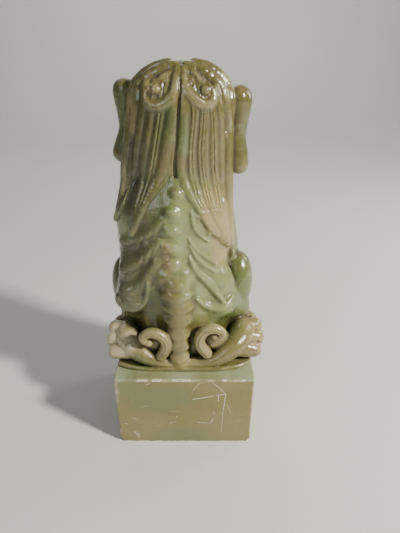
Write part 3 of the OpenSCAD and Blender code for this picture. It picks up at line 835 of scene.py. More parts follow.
def jaw():
    part = Part("lower_jaw", 1.6)
    part.add(ellipsoid((0, -27, 227), (20, 19, 8)), 1)
    lip = ring((0, -25, 230.6), (17.6, 19.6), 2.4, "xy", 180, 360, 15)
    part.add(lip, 1.2)
    return part


def teeth(node, z, direction, fang_x):
    part = Part(node, 0.4)
    for degrees in range(204, 337, 12):
        a = math.radians(degrees)
        x, y = 15.5 * math.cos(a), -26 + 16.5 * math.sin(a)
        part.add(stroke([(x, y, z, 2), (x, y, z + direction * 4, 1.5)]), 0.3)
    for side in (-1, 1):
        part.add(stroke([(side * fang_x, -36, z, 2.6), (side * fang_x, -37, z + direction * 8, 0.9)]),
                 0.3)
    return part


def tongue():
    part = Part("tongue", 0.8)
    part.add(ellipsoid((0, -29, 229.4), (9.6, 12, 4)), 0)
    part.cut(stroke([(0, -20, 233.6, 0.8), (0, -40, 233.2, 0.8)]), 0.6)
    return part


def eye(node, side):
    part = Part(node, 0.7)
    part.add(ellipsoid((side * 13.5, -37.6, 271), (6, 6, 5.8)), 0)
    for lid in (6.6, 5.2):
        part.add(ring((side * 13.5, -38.4, 271), (lid + 0.4, lid - 0.6), 1.1, "xz"), 0.5)
    part.cut(ellipsoid((side * 12.8, -44, 270.6), (1.9, 1.6, 1.9)), 0.4)
    return part


def brow(node, side):
    part = Part(node, 1)
    lines = [
        [(3.5, -39, 272, 3.2), (7, -38, 279, 4.2), (15, -35, 283, 4.6), (24, -29, 280, 4.2),
         (30, -24, 273, 2.6)],
        [(24, -29, 281, 3), (29, -25, 287, 2.8), (25, -24, 291, 2.3), (21, -26, 288, 1.8)],
        [(9, -36, 284, 3), (12, -33, 290, 2.6), (8, -32, 293, 2.2), (5.5, -34, 289, 1.8)],
        [(16, -33, 285, 2.6), (19, -29, 291.6, 2.4), (15.4, -28, 294.6, 2), (12.8, -30, 291, 1.6)],
    ]
    for line in lines:
        part.add(stroke(on_side(side, line)), 0.7)
    return part


def nose():
    part = Part("nose", 1.6)
    part.add(stroke([(0, -36, 272, 4.6), (0, -41, 262.6, 6)]), 1)
    for side in (-1, 1):
        part.add(ellipsoid((side * 6, -42, 259), (4.4, 4.6, 4)), 1.4)
        part.cut(ellipsoid((side * 5.6, -46.4, 257.6), (1.8, 2.4, 1.5)), 0.5)
    for z in (264.6, 268.4, 272):
        part.cut(ring((0, -38.6 + (z - 264.6) * 0.3, z), (6, 8), 0.6, "xy", 210, 330, 20), 0.7)
    return part


LEFT_EAR = [(39, -12, 280, 6.6), (40.6, -12, 278, 8), (41, -12, 264, 5.8), (41, -12, 254, 5.4),
            (43.4, -12, 245, 6),
            (46, -12, 237, 6.4), (45.6, -12, 234, 5.4)]
RIGHT_EAR = [(-40.4, -6, 275.4, 7.6), (-41.2, -6, 273, 8.2), (-41, -6, 263, 6.8), (-40.4, -6, 254, 6),
             (-40.2, -6, 246, 6),
             (-41.4, -6, 236, 6.8), (-41.8, -6, 228.6, 7)]


def ear(node, points):
    part = Part(node, 0.6)
    part.add(stroke(points))
    part.add(stroke([(x * 0.97, y + 4, z, r * 0.8) for x, y, z, r in points]), 3)
    part.add(stroke([(x * 0.97, y - 4, z, r * 0.7) for x, y, z, r in points]), 3)
    inner = [(x * 1.02, y - r * 0.95, z, r * 0.32) for x, y, z, r in points[1:]]
    part.cut(stroke(inner), 1.6)
    return part


def cheek_curl(node, side):
    points = []
    for i in range(17):
        t = i / 16
        r = 10.5 - 7.4 * t
        a = math.radians(90 - 430 * t)
        points.append((side * (29 + r * math.cos(a) * 0.72), -23 + r * math.cos(a) * 0.5 - t * 3,
                       240 + r * math.sin(a), 3.6 - t))
    part = Part(node, 0.8)
    part.add(chain(points))
    part.add(stroke([(side * 30, -20, 228, 4.6), (side * 28, -22, 221, 3.8),
                     (side * 30, -24, 216.5, 2)]), 0.8)
    part.add(ellipsoid((side * 26, -14, 240), (9, 8, 11)), 2)
    return part


def beard():
    part = Part("beard", 0.8)
    for i in range(-2, 3):
        a = abs(i)
        part.add(stroke([(i * 5.5, -37.5 + a * 2.4, 222, 3.6), (i * 5, -42 + a * 2, 213.5, 3.2),
                         (i * 4, -42.5 + a * 1.5, 205 + a * 3, 1.6)]), 0.3)
    return part


MOUTH_Z = 237.4


def mouth_space():
    """The open mouth as three cuts side by side: (x at the throat, x at the lips, radius)."""
    cuts = ((-9, -6, 7.8), (9, 6, 7.8), (0, 0, 8))
    return [capsule((x1, -24, MOUTH_Z, r), (x2, -56, MOUTH_Z, r)) for x1, x2, r in cuts]


def base_slab():
    return Part("figure_base", 0.8).add(slab(SLAB_CENTRE, *SLAB_REACH, PLINTH_TOP - 0.2, SLAB_TOP))


def slab_groove():
    """The dark line where the slab meets the plinth along the rear."""
    cx, cy = SLAB_CENTRE
    line = []
    for x in range(-PLINTH_HALF_WIDTH, PLINTH_HALF_WIDTH + 1, 4):
        y = cy + SLAB_GROOVE_REACH * (1 - ((x - cx) / SLAB_REACH[0]) ** 4) ** 0.25
        line.append((x, y, PLINTH_TOP + 0.5, 0.7))
    return stroke(line, 2)


def carve_body(block):
    block.carve(base_slab())
    block.carve(torso())
    for shape in HAUNCHES:
        block.carve(haunch(*shape))
    block.look_from_behind()
    block.carve(left_ribs(block))
    block.carve(right_ribs(block))
    block.carve(spine(block))
    block.carve(tail())
    block.look_from_behind(1.2)
    for node in HAUNCH_ARCS:
        block.carve(haunch_arcs(block, node))
    block.cut(hem_creases(block), 1.6)
    block.cut(hem_folds(block), 2)
    block.cut(stroke([(-2, 35, 142.6, 1.2), (5, 36.6, 141.6, 2), (13, 35, 143, 1.2)]), 1.4)
    block.carve(hind_foot("left_hind_foot", 1, 0))
    block.carve(hind_foot("right_hind_foot", -1, 3))
    block.cut(slab_groove(), 0.6)
    block.carve(volute("left_tail_curl", LEFT_VOLUTE, 25, 97))
    block.carve(volute("right_tail_curl", RIGHT_VOLUTE, -23, 99))


def carve_front(block):
    block.carve(foreleg("left_foreleg", LEFT_FORELEG, 1))
    block.carve(foreleg("right_foreleg", RIGHT_FORELEG, -1))
    block.carve(brocade_ball())
    block.carve(front_paw("left_front_paw", 31, -35.5, 79.5))
    block.carve(front_paw("right_front_paw", -30.5, -35, 104))
    block.carve(head())
    block.carve(muzzle())
    block.carve(jaw())
    block.carve(collar())
    block.carve(cheek_curl("left_cheek_curl", 1))
    block.carve(cheek_curl("right_cheek_curl", -1))
    block.cut(mouth_space(), 1)


def carve_hair(block):
    block.carve(ear("left_ear", LEFT_EAR))
    block.carve(ear("right_ear", RIGHT_EAR))
    block.carve(mane_core("left_mane", 1))
    block.carve(mane_core("right_mane", -1))
    block.look_from_behind()
    middle = locks_between(MIDDLE_GROOVES)
    outer = locks_between(OUTER_GROOVES)
    right = locks_between(RIGHT_GROOVES)
    combed = [(middle[1], (0.1,)), (outer[0], (0.0,)), (right[1], (-0.3, 0.25)),
              (right[2], (-0.45, -0.1, 0.3)), (right[3], (-0.4, 0.1)), (right[4], (0.0,))]
    block.carve(mane(block, "left_mane", MIDDLE_GROOVES + OUTER_GROOVES, middle + outer))
    block.carve(mane(block, "right_mane", RIGHT_GROOVES, right))
    block.cut(block.lay(PARTING, 1.3), 0.8)
    left_crown = crown(block, "left_crown_curl", LEFT_CROWN, SCROLL_KNOBS[0])
    right_crown = crown(block, "right_crown_curl", RIGHT_CROWN, SCROLL_KNOBS[1])
    lines = crown_lines(block, LEFT_CROWN) + crown_lines(block, RIGHT_CROWN)
    block.look_from_behind()
    block.cut(comb_lines(block, combed), 0.5)
    block.carve(left_crown)
    block.carve(right_crown)
    block.cut(lines, 0.6)
    block.look_from_behind()
    block.cut(block.lay([(x, z, 0.8) for x, z, _ in PARTING[:4]], 0.4), 0.8)


def carve_face(block):
    block.carve(brow("left_brow", 1))
    block.carve(brow("right_brow", -1))
    block.carve(nose())
    block.carve(eye("left_eye", 1))
    block.carve(eye("right_eye", -1))
    block.carve(beard())
    block.carve(bell())
    block.carve(teeth("upper_teeth", 246.5, -1, 12.5))
    block.carve(teeth("lower_teeth", 229.5, 1, 14.5))
    block.carve(tongue())
    block.cut([ellipsoid(PEARL_CENTRE, (6.7, 6.7, 6.7))], 0)


def carve_figure():
    block = Block((-71, -54, 66), (71, 47, 303))
    carve_body(block)
    carve_front(block)
    carve_hair(block)
    carve_face(block)
    x, y, z = block.axes((0, 0, 0), block.count)
    block.field += 0.16 * rough(x, y, z, 9, 5) + 0.06 * rough(x, y, z, 3.2, 6)
    return block


# Chips out of the plinth's edges: (centre, radius).
PLINTH_NICKS = [
    ((58, 49.6, 61), 3), ((58, 49.6, 53), 2.6), ((58, 49, 67), 2.4), ((57.6, 50, 1), 4.6),
    ((-57.4, 50, 1), 4), ((-58, 49.6, 69), 1.6), ((49, 50.4, 0), 2.4), ((-50, 50.4, 0), 2),
    ((57, -50, 1), 4), ((-57, -50, 2), 4), ((29, 50.4, 66), 1.3), ((58, 50, 20), 2),
    ((-57.6, 50, 32), 1.8), ((-57.8, 50, 12), 2.4),
]


def carve_plinth():
    """The squared block, with softened edges that are nicked along their length."""
    block = Block((-60, -52, -3), (60, 52, 72))
    x, y, z = block.axes((0, 0, 0), block.count)
    half_width = PLINTH_HALF_WIDTH + z / PLINTH_TOP
    edge = 1.1
    wave = 0.2 * rough(x, y, z, 17, 11)
    inside = [np.abs(x) - half_width + edge + wave,
              np.abs(y) - PLINTH_HALF_DEPTH + edge + wave * 0.6,
              np.abs(z - PLINTH_TOP / 2) - PLINTH_TOP / 2 + edge]
    outside = np.sqrt(sum(np.maximum(d, 0.0) ** 2 for d in inside))
    within = np.minimum(np.maximum(np.maximum(*inside[:2]), inside[2]), 0.0)
    block.field = (outside + within - edge).astype(np.float32)
    near_edge = np.sort(np.stack(np.broadcast_arrays(*inside)), axis=0)[1] - edge
    coarse = np.clip(rough(x, y, z, 4.6, 12) - 0.3, 0, 1) * 1.7
    fine = np.clip(rough(x, y, z, 1.9, 13) - 0.25, 0, 1) * 0.8
    block.field += (coarse + fine) * np.clip(1 + near_edge / 1.8, 0, 1)
    for centre, r in PLINTH_NICKS:
        block.cut(ellipsoid(centre, (r, r * 0.8, r * 1.1)), 1)
    block.nodes = ["plinth"]
    return block


# ---------- skin to pieces ----------

def vertex_normals(points, quads):
    a, b, c, d = (points[quads[:, i]] for i in range(4))
    face = np.cross(c - a, d - b)
    total = np.zeros_like(points)
    for i in range(4):
        np.add.at(total, quads[:, i], face)
    return total / np.maximum(np.linalg.norm(total, axis=1, keepdims=True), 1e-9)


def new_object(name, data):
    """An object in the scene that holds this mesh, light or camera."""
    thing = bpy.data.objects.new(name, data)
    bpy.context.scene.collection.objects.link(thing)
    return thing


def make_piece(name, points, quads, normals, marks, material):
    mesh = bpy.data.meshes.new(name)
    mesh.vertices.add(len(points))
    mesh.vertices.foreach_set("co", (points * TO_M).astype(np.float32).ravel())
    mesh.loops.add(quads.size)
    mesh.loops.foreach_set("vertex_index", quads.astype(np.int32).ravel())
    mesh.polygons.add(len(quads))
    mesh.polygons.foreach_set("loop_start", np.arange(0, quads.size, 4, dtype=np.int32))
    mesh.update(calc_edges=True)
    mesh.validate()
    for key, values in marks.items():
        layer = mesh.attributes.new(key, "FLOAT", "POINT")
        layer.data.foreach_set("value", values.astype(np.float32))
    mesh.shade_smooth()
    mesh.normals_split_custom_set_from_vertices(normals.astype(np.float32))
    mesh.materials.append(material)
    return new_object(name, mesh)


def share_out(block, materials):
    """One skin over the whole block, cut into a piece for each node it passes over."""
    points, quads = block.skin()
    normals = vertex_normals(points, quads)
    # relief and hollow mark edges and grooves over a small box and a wide box; the stone's material
    # darkens the grooves and hollows they mark as painted shade.
    marks = {
        "relief": block.sample(block.blurred(1.6), points),
        "hollow": block.sample(block.blurred(5.5), points),
    }
    centres = points[quads].mean(axis=1) - 0.35 * normals[quads].mean(axis=1)
    place = np.clip(np.round((centres - block.low) / STEP).astype(int), 0, block.count - 1)
    owners = block.owner[place[:, 0], place[:, 1], place[:, 2]]
    pieces = []
    for index, node in enumerate(block.nodes):
        faces = quads[owners == index]
        if not len(faces):
            continue
        used, faces = np.unique(faces, return_inverse=True)
        faces = faces.reshape(-1, 4)
        piece = make_piece("stone_" + node, points[used], faces, normals[used],
                           {key: values[used] for key, values in marks.items()}, materials(node))
        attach(piece, "carving")
        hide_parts(node)
        pieces.append(piece)
    return pieces


# ---------- stone ----------

class Graph:
    """Short names for building a node material."""

    def __init__(self, name):
        self.material = bpy.data.materials.new(name)
        self.material.use_nodes = True
        self.tree = self.material.node_tree
        self.tree.nodes.clear()
        self.place = self.add("ShaderNodeTexCoord").outputs["Object"]
        self.cloud = 0.0

    def add(self, kind, **settings):
        node = self.tree.nodes.new(kind)
        for key, value in settings.items():
            setattr(node, key, value)
        return node

    def put(self, socket, value):
        if isinstance(value, bpy.types.NodeSocket):
            self.tree.links.new(value, socket)
        else:
            socket.default_value = value

    def math(self, operation, a, b=0.0, clamp=False):
        node = self.add("ShaderNodeMath", operation=operation, use_clamp=clamp)
        self.put(node.inputs[0], a)
        self.put(node.inputs[1], b)
        return node.outputs[0]

    def plus(self, a, b, clamp=False):
        return self.math("ADD", a, b, clamp)

    def minus(self, a, b):
        return self.math("SUBTRACT", a, b)

    def times(self, a, b):
        return self.math("MULTIPLY", a, b)

    def vector(self, operation, a, b=(0.0, 0.0, 0.0)):
        node = self.add("ShaderNodeVectorMath", operation=operation)
        self.put(node.inputs[0], a)
        self.put(node.inputs[1], b)
        return node.outputs["Value" if operation == "LENGTH" else "Vector"]

    def split(self):
        """The x, y and z of the place on the statue, in metres."""
        node = self.add("ShaderNodeSeparateXYZ")
        self.put(node.inputs[0], self.place)
        return node.outputs[:]

    def band(self, value, low, high, to_low=0.0, to_high=1.0):
        """value moved from the range low..high to to_low..to_high, with soft ends."""
        node = self.add("ShaderNodeMapRange", interpolation_type="SMOOTHSTEP")
        for socket, item in zip(node.inputs, (value, low, high, to_low, to_high)):
            self.put(socket, item)
        return node.outputs[0]

    def noise(self, scale, detail=3.0, roughness=0.55, warp=0.0, where=None):
        node = self.add("ShaderNodeTexNoise")
        self.put(node.inputs["Vector"], where or self.place)
        self.put(node.inputs["Scale"], scale)
        self.put(node.inputs["Detail"], detail)
        self.put(node.inputs["Roughness"], roughness)
        self.put(node.inputs["Distortion"], warp)
        return node.outputs["Fac"]

    def mix(self, factor, a, b, kind="MIX"):
        node = self.add("ShaderNodeMix", data_type="RGBA", blend_type=kind)
        self.put(node.inputs["Factor"], factor)
        self.put(node.inputs["A"], a)
        self.put(node.inputs["B"], b)
        return node.outputs["Result"]

    def mark(self, name):
        return self.add("ShaderNodeAttribute", attribute_name=name).outputs["Fac"]

    def patch(self, centre, size, soft=0.5):
        """1 near a point on the statue, falling to 0 at about size from it, with a clouded edge."""
        shift = self.vector("SUBTRACT", self.place, [c * TO_M for c in centre])
        reach = self.vector("LENGTH", self.vector("DIVIDE", shift, [c * TO_M for c in size]))
        ragged = self.plus(reach, self.times(self.cloud, 1.6))
        return self.band(ragged, 1.0 - soft, 1.0 + soft, 1.0, 0.0)

    def patches(self, places):
        """1 near any of the places, each given as (centre, size) in millimetres."""
        return self.any([self.patch(centre, size) for centre, size in places])

    def any(self, values):
        out = values[0]
        for value in values[1:]:
            out = self.math("MAXIMUM", out, value)
        return out

    def finish(self, shader):
        """Ends the material with this shader."""
        out = self.add("ShaderNodeOutputMaterial")
        self.put(out.inputs["Surface"], shader.outputs["BSDF"])
        return self.material


OLIVE = (0.164, 0.154, 0.058, 1)
KHAKI = (0.126, 0.113, 0.038, 1)
GREEN = (0.105, 0.140, 0.044, 1)
MINT = (0.240, 0.284, 0.122, 1)
CREAM = (0.318, 0.264, 0.116, 1)
# Painted shade: a dark grey-olive that darkens the lion's left side as though in shadow.
LEFT_SIDE_SHADE = (0.108, 0.106, 0.066, 1)
BROWN = (0.150, 0.098, 0.038, 1)
RUST = (0.300, 0.160, 0.045, 1)
# Painted shade: the near-black brown laid into the grooves.
GROOVE_SHADE = (0.036, 0.027, 0.011, 1)
PALE = (0.465, 0.430, 0.225, 1)
GROUND = (0.238, 0.206, 0.072, 1)
# Painted light: a near-white for the lion's left foot.
LEFT_FOOT_LIGHT = (0.640, 0.560, 0.380, 1)
# A dark olive: painted shade on the left of the back and by the parting, and a darker tone on the right
# of the crown and the right ear.
SHADE_OLIVE = (0.080, 0.076, 0.026, 1)
# Painted shade: the tint that darkens deep hollows.
HOLLOW_SHADE_TINT = (0.50, 0.42, 0.30, 1)

# Where each colour gathers: (colour, strength, [(centre, size), ...]).
COLOUR_PATCHES = [
    (KHAKI, 0.95, [((0, 0, 268), (75, 60, 58))]),
    # Painted shade: the left flank, the left of the back and the left side of the hair, darkened as
    # though in shadow.
    (LEFT_SIDE_SHADE, 0.6, [((48, 10, 168), (34, 40, 60)), ((26, 26, 190), (12, 20, 30)),
                  ((36, 10, 225), (12, 20, 25))]),
    (MINT, 0.85, [((-4, 26, 184), (22, 30, 36)), ((-22, 22, 140), (22, 30, 24)),
                  ((-26, 30, 120), (20, 20, 14)), ((46, 5, 186), (12, 20, 10))]),
    (GREEN, 0.85, [((13, 24, 206), (7, 20, 12)), ((-46, -8, 124), (16, 34, 30)),
                   ((-46, -10, 248), (6, 14, 20)), ((8, 20, 264), (6, 12, 14)),
                   ((30, 16, 134), (12, 20, 10)), ((-2, 20, 252), (5, 12, 12)),
                   ((38, 34, 80), (12, 14, 8)), ((44, -10, 262), (10, 20, 22)),
                   ((-36, 20, 108), (18, 20, 12))]),
    (CREAM, 0.8, [((-31, 12, 184), (9, 20, 30)), ((-22, 16, 202), (10, 14, 18)),
                  ((60, 14, 84), (14, 22, 16)), ((-60, 10, 88), (14, 22, 14)),
                  ((24, 38, 100), (16, 10, 14)), ((-22, 38, 102), (16, 10, 14)),
                  ((12, 30, 172), (4, 10, 8)), ((11, 32, 160), (5, 10, 5)),
                  ((34, 8, 270), (4, 12, 16)), ((19, 16, 282), (6, 10, 5)),
                  ((4, 36, 80), (14, 10, 8))]),
    # Painted shade: the left haunch, darkened as though in the body's shadow.
    (LEFT_SIDE_SHADE, 0.9, [((44, 12, 130), (18, 30, 18))]),
    # Painted shade on the left of the back and the hair left of the parting; on the right of the crown
    # and the right ear this is a darker tone.
    (SHADE_OLIVE, 0.5, [((-14, 8, 288), (14, 20, 10)), ((-44, 0, 256), (6, 14, 30)),
                 ((28, 22, 200), (14, 20, 18)), ((12, 18, 262), (14, 12, 8))]),
    # Painted light: the left foot and ankle are made pale as though lit, though the key lamp leaves them
    # in the body's shadow.
    (LEFT_FOOT_LIGHT, 0.9, [((60, 18, 86), (12, 16, 16)), ((50, 26, 86), (14, 12, 12))]),
    # Painted shade on the hair by the parting.
    (SHADE_OLIVE, 0.3, [((0, 12, 268), (32, 20, 24))]),
    (RUST, 0.15, [((-41, -4, 279), (5, 10, 3)), ((-45, -2, 228), (3, 8, 6)),
                 ((13, 30, 163), (3, 6, 4)), ((14, 20, 232), (3, 6, 4)),
                 ((-62, 20, 86), (4, 8, 4))]),
]


def clouded_colour(g):
    """The stone's colour: olive, with patches of the other colours and finer clouds and flecks. Some
    patches are painted shade, on the lion's left side and by the parting, and one is painted light, on
    its left foot.
    """
    g.cloud = g.minus(g.noise(45, 5, 0.65, 0.8), 0.5)
    colour = g.mix(g.band(g.noise(17, 4, 0.6, 0.8), 0.42, 0.64), OLIVE, KHAKI)
    for patch_colour, strength, places in COLOUR_PATCHES:
        colour = g.mix(g.times(g.patches(places), strength), colour, patch_colour)
    colour = g.mix(g.times(g.band(g.noise(60, 5, 0.65, 1.0), 0.52, 0.66), 0.40), colour, GREEN)
    colour = g.mix(g.times(g.band(g.noise(48, 5, 0.65, 1.4), 0.58, 0.72), 0.45), colour, BROWN)
    colour = g.mix(g.times(g.band(g.noise(75, 5, 0.7, 1.2), 0.56, 0.70), 0.40), colour, MINT)
    colour = g.mix(g.band(g.noise(190, 5, 0.7, 0.6), 0.36, 0.70, 0.0, 0.34), colour, PALE, "SOFT_LIGHT")
    flecks = g.band(g.noise(520, 3, 0.7), 0.64, 0.74)
    return g.mix(g.times(flecks, 0.20), colour, PALE)


def finish_shader(g, colour, roughness, height, bump_m, coat, scatter):
    shader = g.add("ShaderNodeBsdfPrincipled")
    g.put(shader.inputs["Base Color"], colour)
    g.put(shader.inputs["Roughness"], roughness)
    g.put(shader.inputs["IOR"], 1.56)
    g.put(shader.inputs["Coat Weight"], coat)
    g.put(shader.inputs["Coat Roughness"], 0.12)
    g.put(shader.inputs["Subsurface Weight"], scatter)
    g.put(shader.inputs["Subsurface Radius"], (1.0, 0.9, 0.5))
    g.put(shader.inputs["Subsurface Scale"], 0.003)
    bump = g.add("ShaderNodeBump")
    g.put(bump.inputs["Strength"], 0.5)
    g.put(bump.inputs["Distance"], bump_m)
    g.put(bump.inputs["Height"], height)
    g.put(shader.inputs["Normal"], bump.outputs["Normal"])
    return g.finish(shader)


def hair_strands(g):
    """Fine upright strands on the hair that hangs behind the head."""
    stretched = g.vector("MULTIPLY", g.place, (700.0, 260.0, 26.0))
    x, y, z = g.split()
    across = g.math("ABSOLUTE", x)
    zone = g.times(g.band(y, -0.006, 0.006), g.band(across, 0.040, 0.036))
    zone = g.times(zone, g.band(z, 0.196, 0.214))
    zone = g.times(zone, g.band(z, 0.276, 0.262))
    return g.times(zone, g.noise(1.0, 2, 0.6, where=stretched))


def polished_stone(name, tint=None, tint_share=0.0):
    """Carved and polished: glossy, with painted shade in the grooves and hollows, and paler on the
    ridges.
    """
    g = Graph(name)
    colour = clouded_colour(g)
    if tint:
        colour = g.mix(tint_share, colour, tint)
    relief = g.mark("relief")
    hollow = g.mark("hollow")
    # groove and hollow_shade say where painted shade goes: grooves and deep hollows are darkened as
    # though shadowed.
    groove = g.band(relief, -0.04, -0.40)
    hollow_shade = g.band(hollow, -0.1, -1.8)
    worn = g.band(relief, 0.22, 0.62)
    colour = g.mix(g.times(hollow_shade, 0.75), colour, HOLLOW_SHADE_TINT, "MULTIPLY")
    colour = g.mix(g.times(groove, 0.54), colour, GROOVE_SHADE)
    colour = g.mix(g.times(worn, g.band(g.noise(110, 4, 0.7), 0.30, 0.70, 0.06, 0.42)), colour, PALE)
    smudge = g.noise(70, 4, 0.6, 0.5)
    roughness = g.plus(g.band(smudge, 0.35, 0.7, 0.13, 0.32), g.times(groove, 0.3))
    height = g.plus(g.noise(210, 4, 0.62), g.times(g.noise(900, 2, 0.6), 0.4))
    height = g.plus(height, g.times(hair_strands(g), 0.7))
    return finish_shader(g, colour, roughness, height, 0.0007, 0.35, 0.14)


# Scratches on the plinth's rear face in millimetres: (x, z) to (x, z) and half width.
SCRATCHES = [
    (-7, 49, -34, 55, 0.34), (-34, 55, -32, 33, 0.32), (-32, 33, -31, 12, 0.16), (-7, 58, -12, 66, 0.18),
    (-12, 66, -18, 68, 0.12), (-23, 67, -29, 61, 0.22), (-29, 61, -33, 56, 0.28),
    (-28, 54, -28, 47, 0.26),
    (-24, 35, -25, 33, 0.2), (13, 22, 6, 24, 0.24), (7, 30, 6, 27, 0.2), (-11, 23, -22, 22, 0.24),
    (-22, 22, -24, 27, 0.26), (-35, 44, -39, 33, 0.14), (45, 28, 41, 27, 0.3), (51, 22, 49, 21, 0.26),
    (43, 12, 40, 5, 0.34), (41, 12, 39, 7, 0.2), (30, 65, 27, 66, 0.26), (12, 35, 4, 36, 0.08),
    (24, 19, 17, 20, 0.1), (-41, 24, -49, 25, 0.1), (36, 41, 28, 42, 0.08),
]
# Bright stretches of the plinth's top rear edge in millimetres, from x to x: partly worn chips, partly
# painted highlight.
WORN_AND_LIT_EDGE = [(37, 30), (25, 18), (9, -6), (-32, -34), (-47, -49)]
WORN_AND_LIT_EDGE_Z = 68.5
WORN_AND_LIT_EDGE_HALF_WIDTH = 0.55


def scratch_and_glint_mask(g):
    """1 on the scratches of the plinth's rear face and on the bright stretches of its top rear edge,
    which are partly wear and partly painted highlight.
    """
    place_x, place_y, place_z = g.split()
    wobble = g.times(g.minus(g.noise(260, 2), 0.5), 0.0010)
    x = g.plus(place_x, wobble)
    z = g.plus(place_z, wobble)
    masks = []
    # The bright edge stretches are partly worn chips and partly painted highlight.
    worn = [(start, WORN_AND_LIT_EDGE_Z, end, WORN_AND_LIT_EDGE_Z, WORN_AND_LIT_EDGE_HALF_WIDTH) for start, end in WORN_AND_LIT_EDGE]
    for x1, z1, x2, z2, width in [[TO_M * value for value in scratch] for scratch in SCRATCHES + worn]:
        ax, az = x2 - x1, z2 - z1
        length2 = ax * ax + az * az
        px, pz = g.minus(x, x1), g.minus(z, z1)
        # How far along the scratch the nearest point is, from 0 to 1.
        along = g.plus(g.times(px, ax / length2), g.times(pz, az / length2), clamp=True)
        dx = g.minus(px, g.times(along, ax))
        dz = g.minus(pz, g.times(along, az))
        square = g.plus(g.times(dx, dx), g.times(dz, dz))
        masks.append(g.band(square, width * width * 0.3, width * width * 2.6, 1.0, 0.0))
    rear = g.band(place_y, 0.0465, 0.0475)
    broken = g.band(g.noise(260, 3, 0.7), 0.30, 0.50)
    return g.times(g.times(g.any(masks), rear), broken)


# Colours and places of the plinth's own patches, top colour, chips and scratches, and of its paler
# edges, which are partly wear and partly painted highlight.
SAGE = (0.150, 0.190, 0.080, 1)
PINK = (0.320, 0.260, 0.140, 1)
TOP_PALE = (0.330, 0.400, 0.235, 1)
TOP_DARK = (0.235, 0.250, 0.120, 1)
# Paler edges: partly wear, partly painted highlight.
EDGE_WEAR_AND_GLINT = (0.60, 0.50, 0.36, 1)
CHIPPED = (0.620, 0.500, 0.400, 1)
SCRATCH_AND_GLINT_PALE = (0.70, 0.64, 0.50, 1)
PLINTH_GREENS = [
    ((48, 49, 62), (16, 30, 8)), ((4, 49, 6), (30, 30, 12)),
    ((20, 49, 50), (30, 30, 16)), ((-50, 0, 30), (20, 20, 30)),
]
PLINTH_PINKS = [
    ((34, 49, 18), (22, 30, 14)), ((-36, 49, 20), (26, 30, 18)),
    ((-30, 49, 62), (20, 30, 6)), ((50, 0, 30), (20, 20, 20)),
]
PLINTH_CHIPS = [((57, 49, 60), (3, 6, 12)), ((-57, 49, 40), (1.6, 4, 40))]


def ground_stone(name):
    """The plinth: the same stone ground flat, left duller, scratched and chipped."""
    g = Graph(name)
    colour = clouded_colour(g)
    colour = g.mix(0.72, colour, GROUND)
    colour = g.mix(g.times(g.patches(PLINTH_GREENS), 0.70), colour, SAGE)
    colour = g.mix(g.times(g.patches(PLINTH_PINKS), 0.28), colour, PINK)
    height_m = g.split()[2]
    # The top face is given a paler, greener colour, clouded by noise.
    top = g.band(height_m, 0.0665, 0.0690)
    top_colour = g.mix(g.band(g.noise(26, 4), 0.42, 0.62), TOP_PALE, TOP_DARK)
    colour = g.mix(g.times(top, 0.75), colour, top_colour)
    relief = g.mark("relief")
    # Partly wear and partly painted highlight: the rounded edges are made paler in ragged stretches.
    edge = g.band(relief, 0.20, 0.60)
    ragged = g.times(edge, g.band(g.noise(140, 4, 0.7), 0.46, 0.62))
    colour = g.mix(g.times(ragged, 0.55), colour, EDGE_WEAR_AND_GLINT)
    colour = g.mix(g.times(g.patches(PLINTH_CHIPS), 0.65), colour, CHIPPED)
    scratches_and_glints = scratch_and_glint_mask(g)
    scuffs = g.times(g.band(g.noise(85, 6, 0.75, 2.5), 0.60, 0.68), g.band(g.noise(700, 2), 0.45, 0.6))
    colour = g.mix(g.times(scuffs, 0.35), colour, PALE)
    # The scratches and the bright stretches of the top rear edge are painted pale; the edge stretches
    # are partly painted highlight.
    colour = g.mix(g.times(scratches_and_glints, 0.75), colour, SCRATCH_AND_GLINT_PALE)
    roughness = g.plus(g.band(g.noise(55, 4, 0.6), 0.3, 0.7, 0.38, 0.58), g.times(scratches_and_glints, 0.2))
    height = g.minus(g.plus(g.noise(320, 5, 0.65), g.times(g.noise(1400, 2), 0.3)),
                    g.times(scratches_and_glints, 0.8))
    return finish_shader(g, colour, roughness, height, 0.0005, 0.06, 0.10)


PALE_NODES = {"left_tail_curl", "right_tail_curl", "left_hind_foot", "right_hind_foot", "upper_teeth",
              "lower_teeth"}


def make_materials():
    """A function that gives each node its stone, and the paler stone for the pearl."""
    stone = polished_stone("polished_stone")
    pale = polished_stone("polished_pale_stone", CREAM, 0.16)
    ground = ground_stone("ground_stone")

    def material_for(node):
        if node == "plinth":
            return ground
        return pale if node in PALE_NODES else stone

    return material_for, pale


# ---------- pearl, floor, light and camera ----------

def make_pearl(material):
    """A plain, finely divided sphere of the pearl's radius."""
    bpy.ops.mesh.primitive_ico_sphere_add(subdivisions=5, radius=PEARL_R * TO_M,
                                          location=[c * TO_M for c in PEARL_CENTRE])
    pearl = bpy.context.object
    pearl.name = "stone_pearl"
    bpy.ops.object.transform_apply(location=True, rotation=True, scale=True)
    mesh = pearl.data
    for key in ("relief", "hollow"):
        layer = mesh.attributes.new(key, "FLOAT", "POINT")
        layer.data.foreach_set("value", np.zeros(len(mesh.vertices), dtype=np.float32))
    mesh.shade_smooth()
    mesh.materials.append(material)
    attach(pearl, "pearl")
    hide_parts("pearl")


FLOOR_FRONT_M = 4.0
FLOOR_HALF_WIDTH_M = 5.0
BEND_START_M = -2.2
BEND_R_M = 1.2
BACKDROP_TOP_M = 4.0


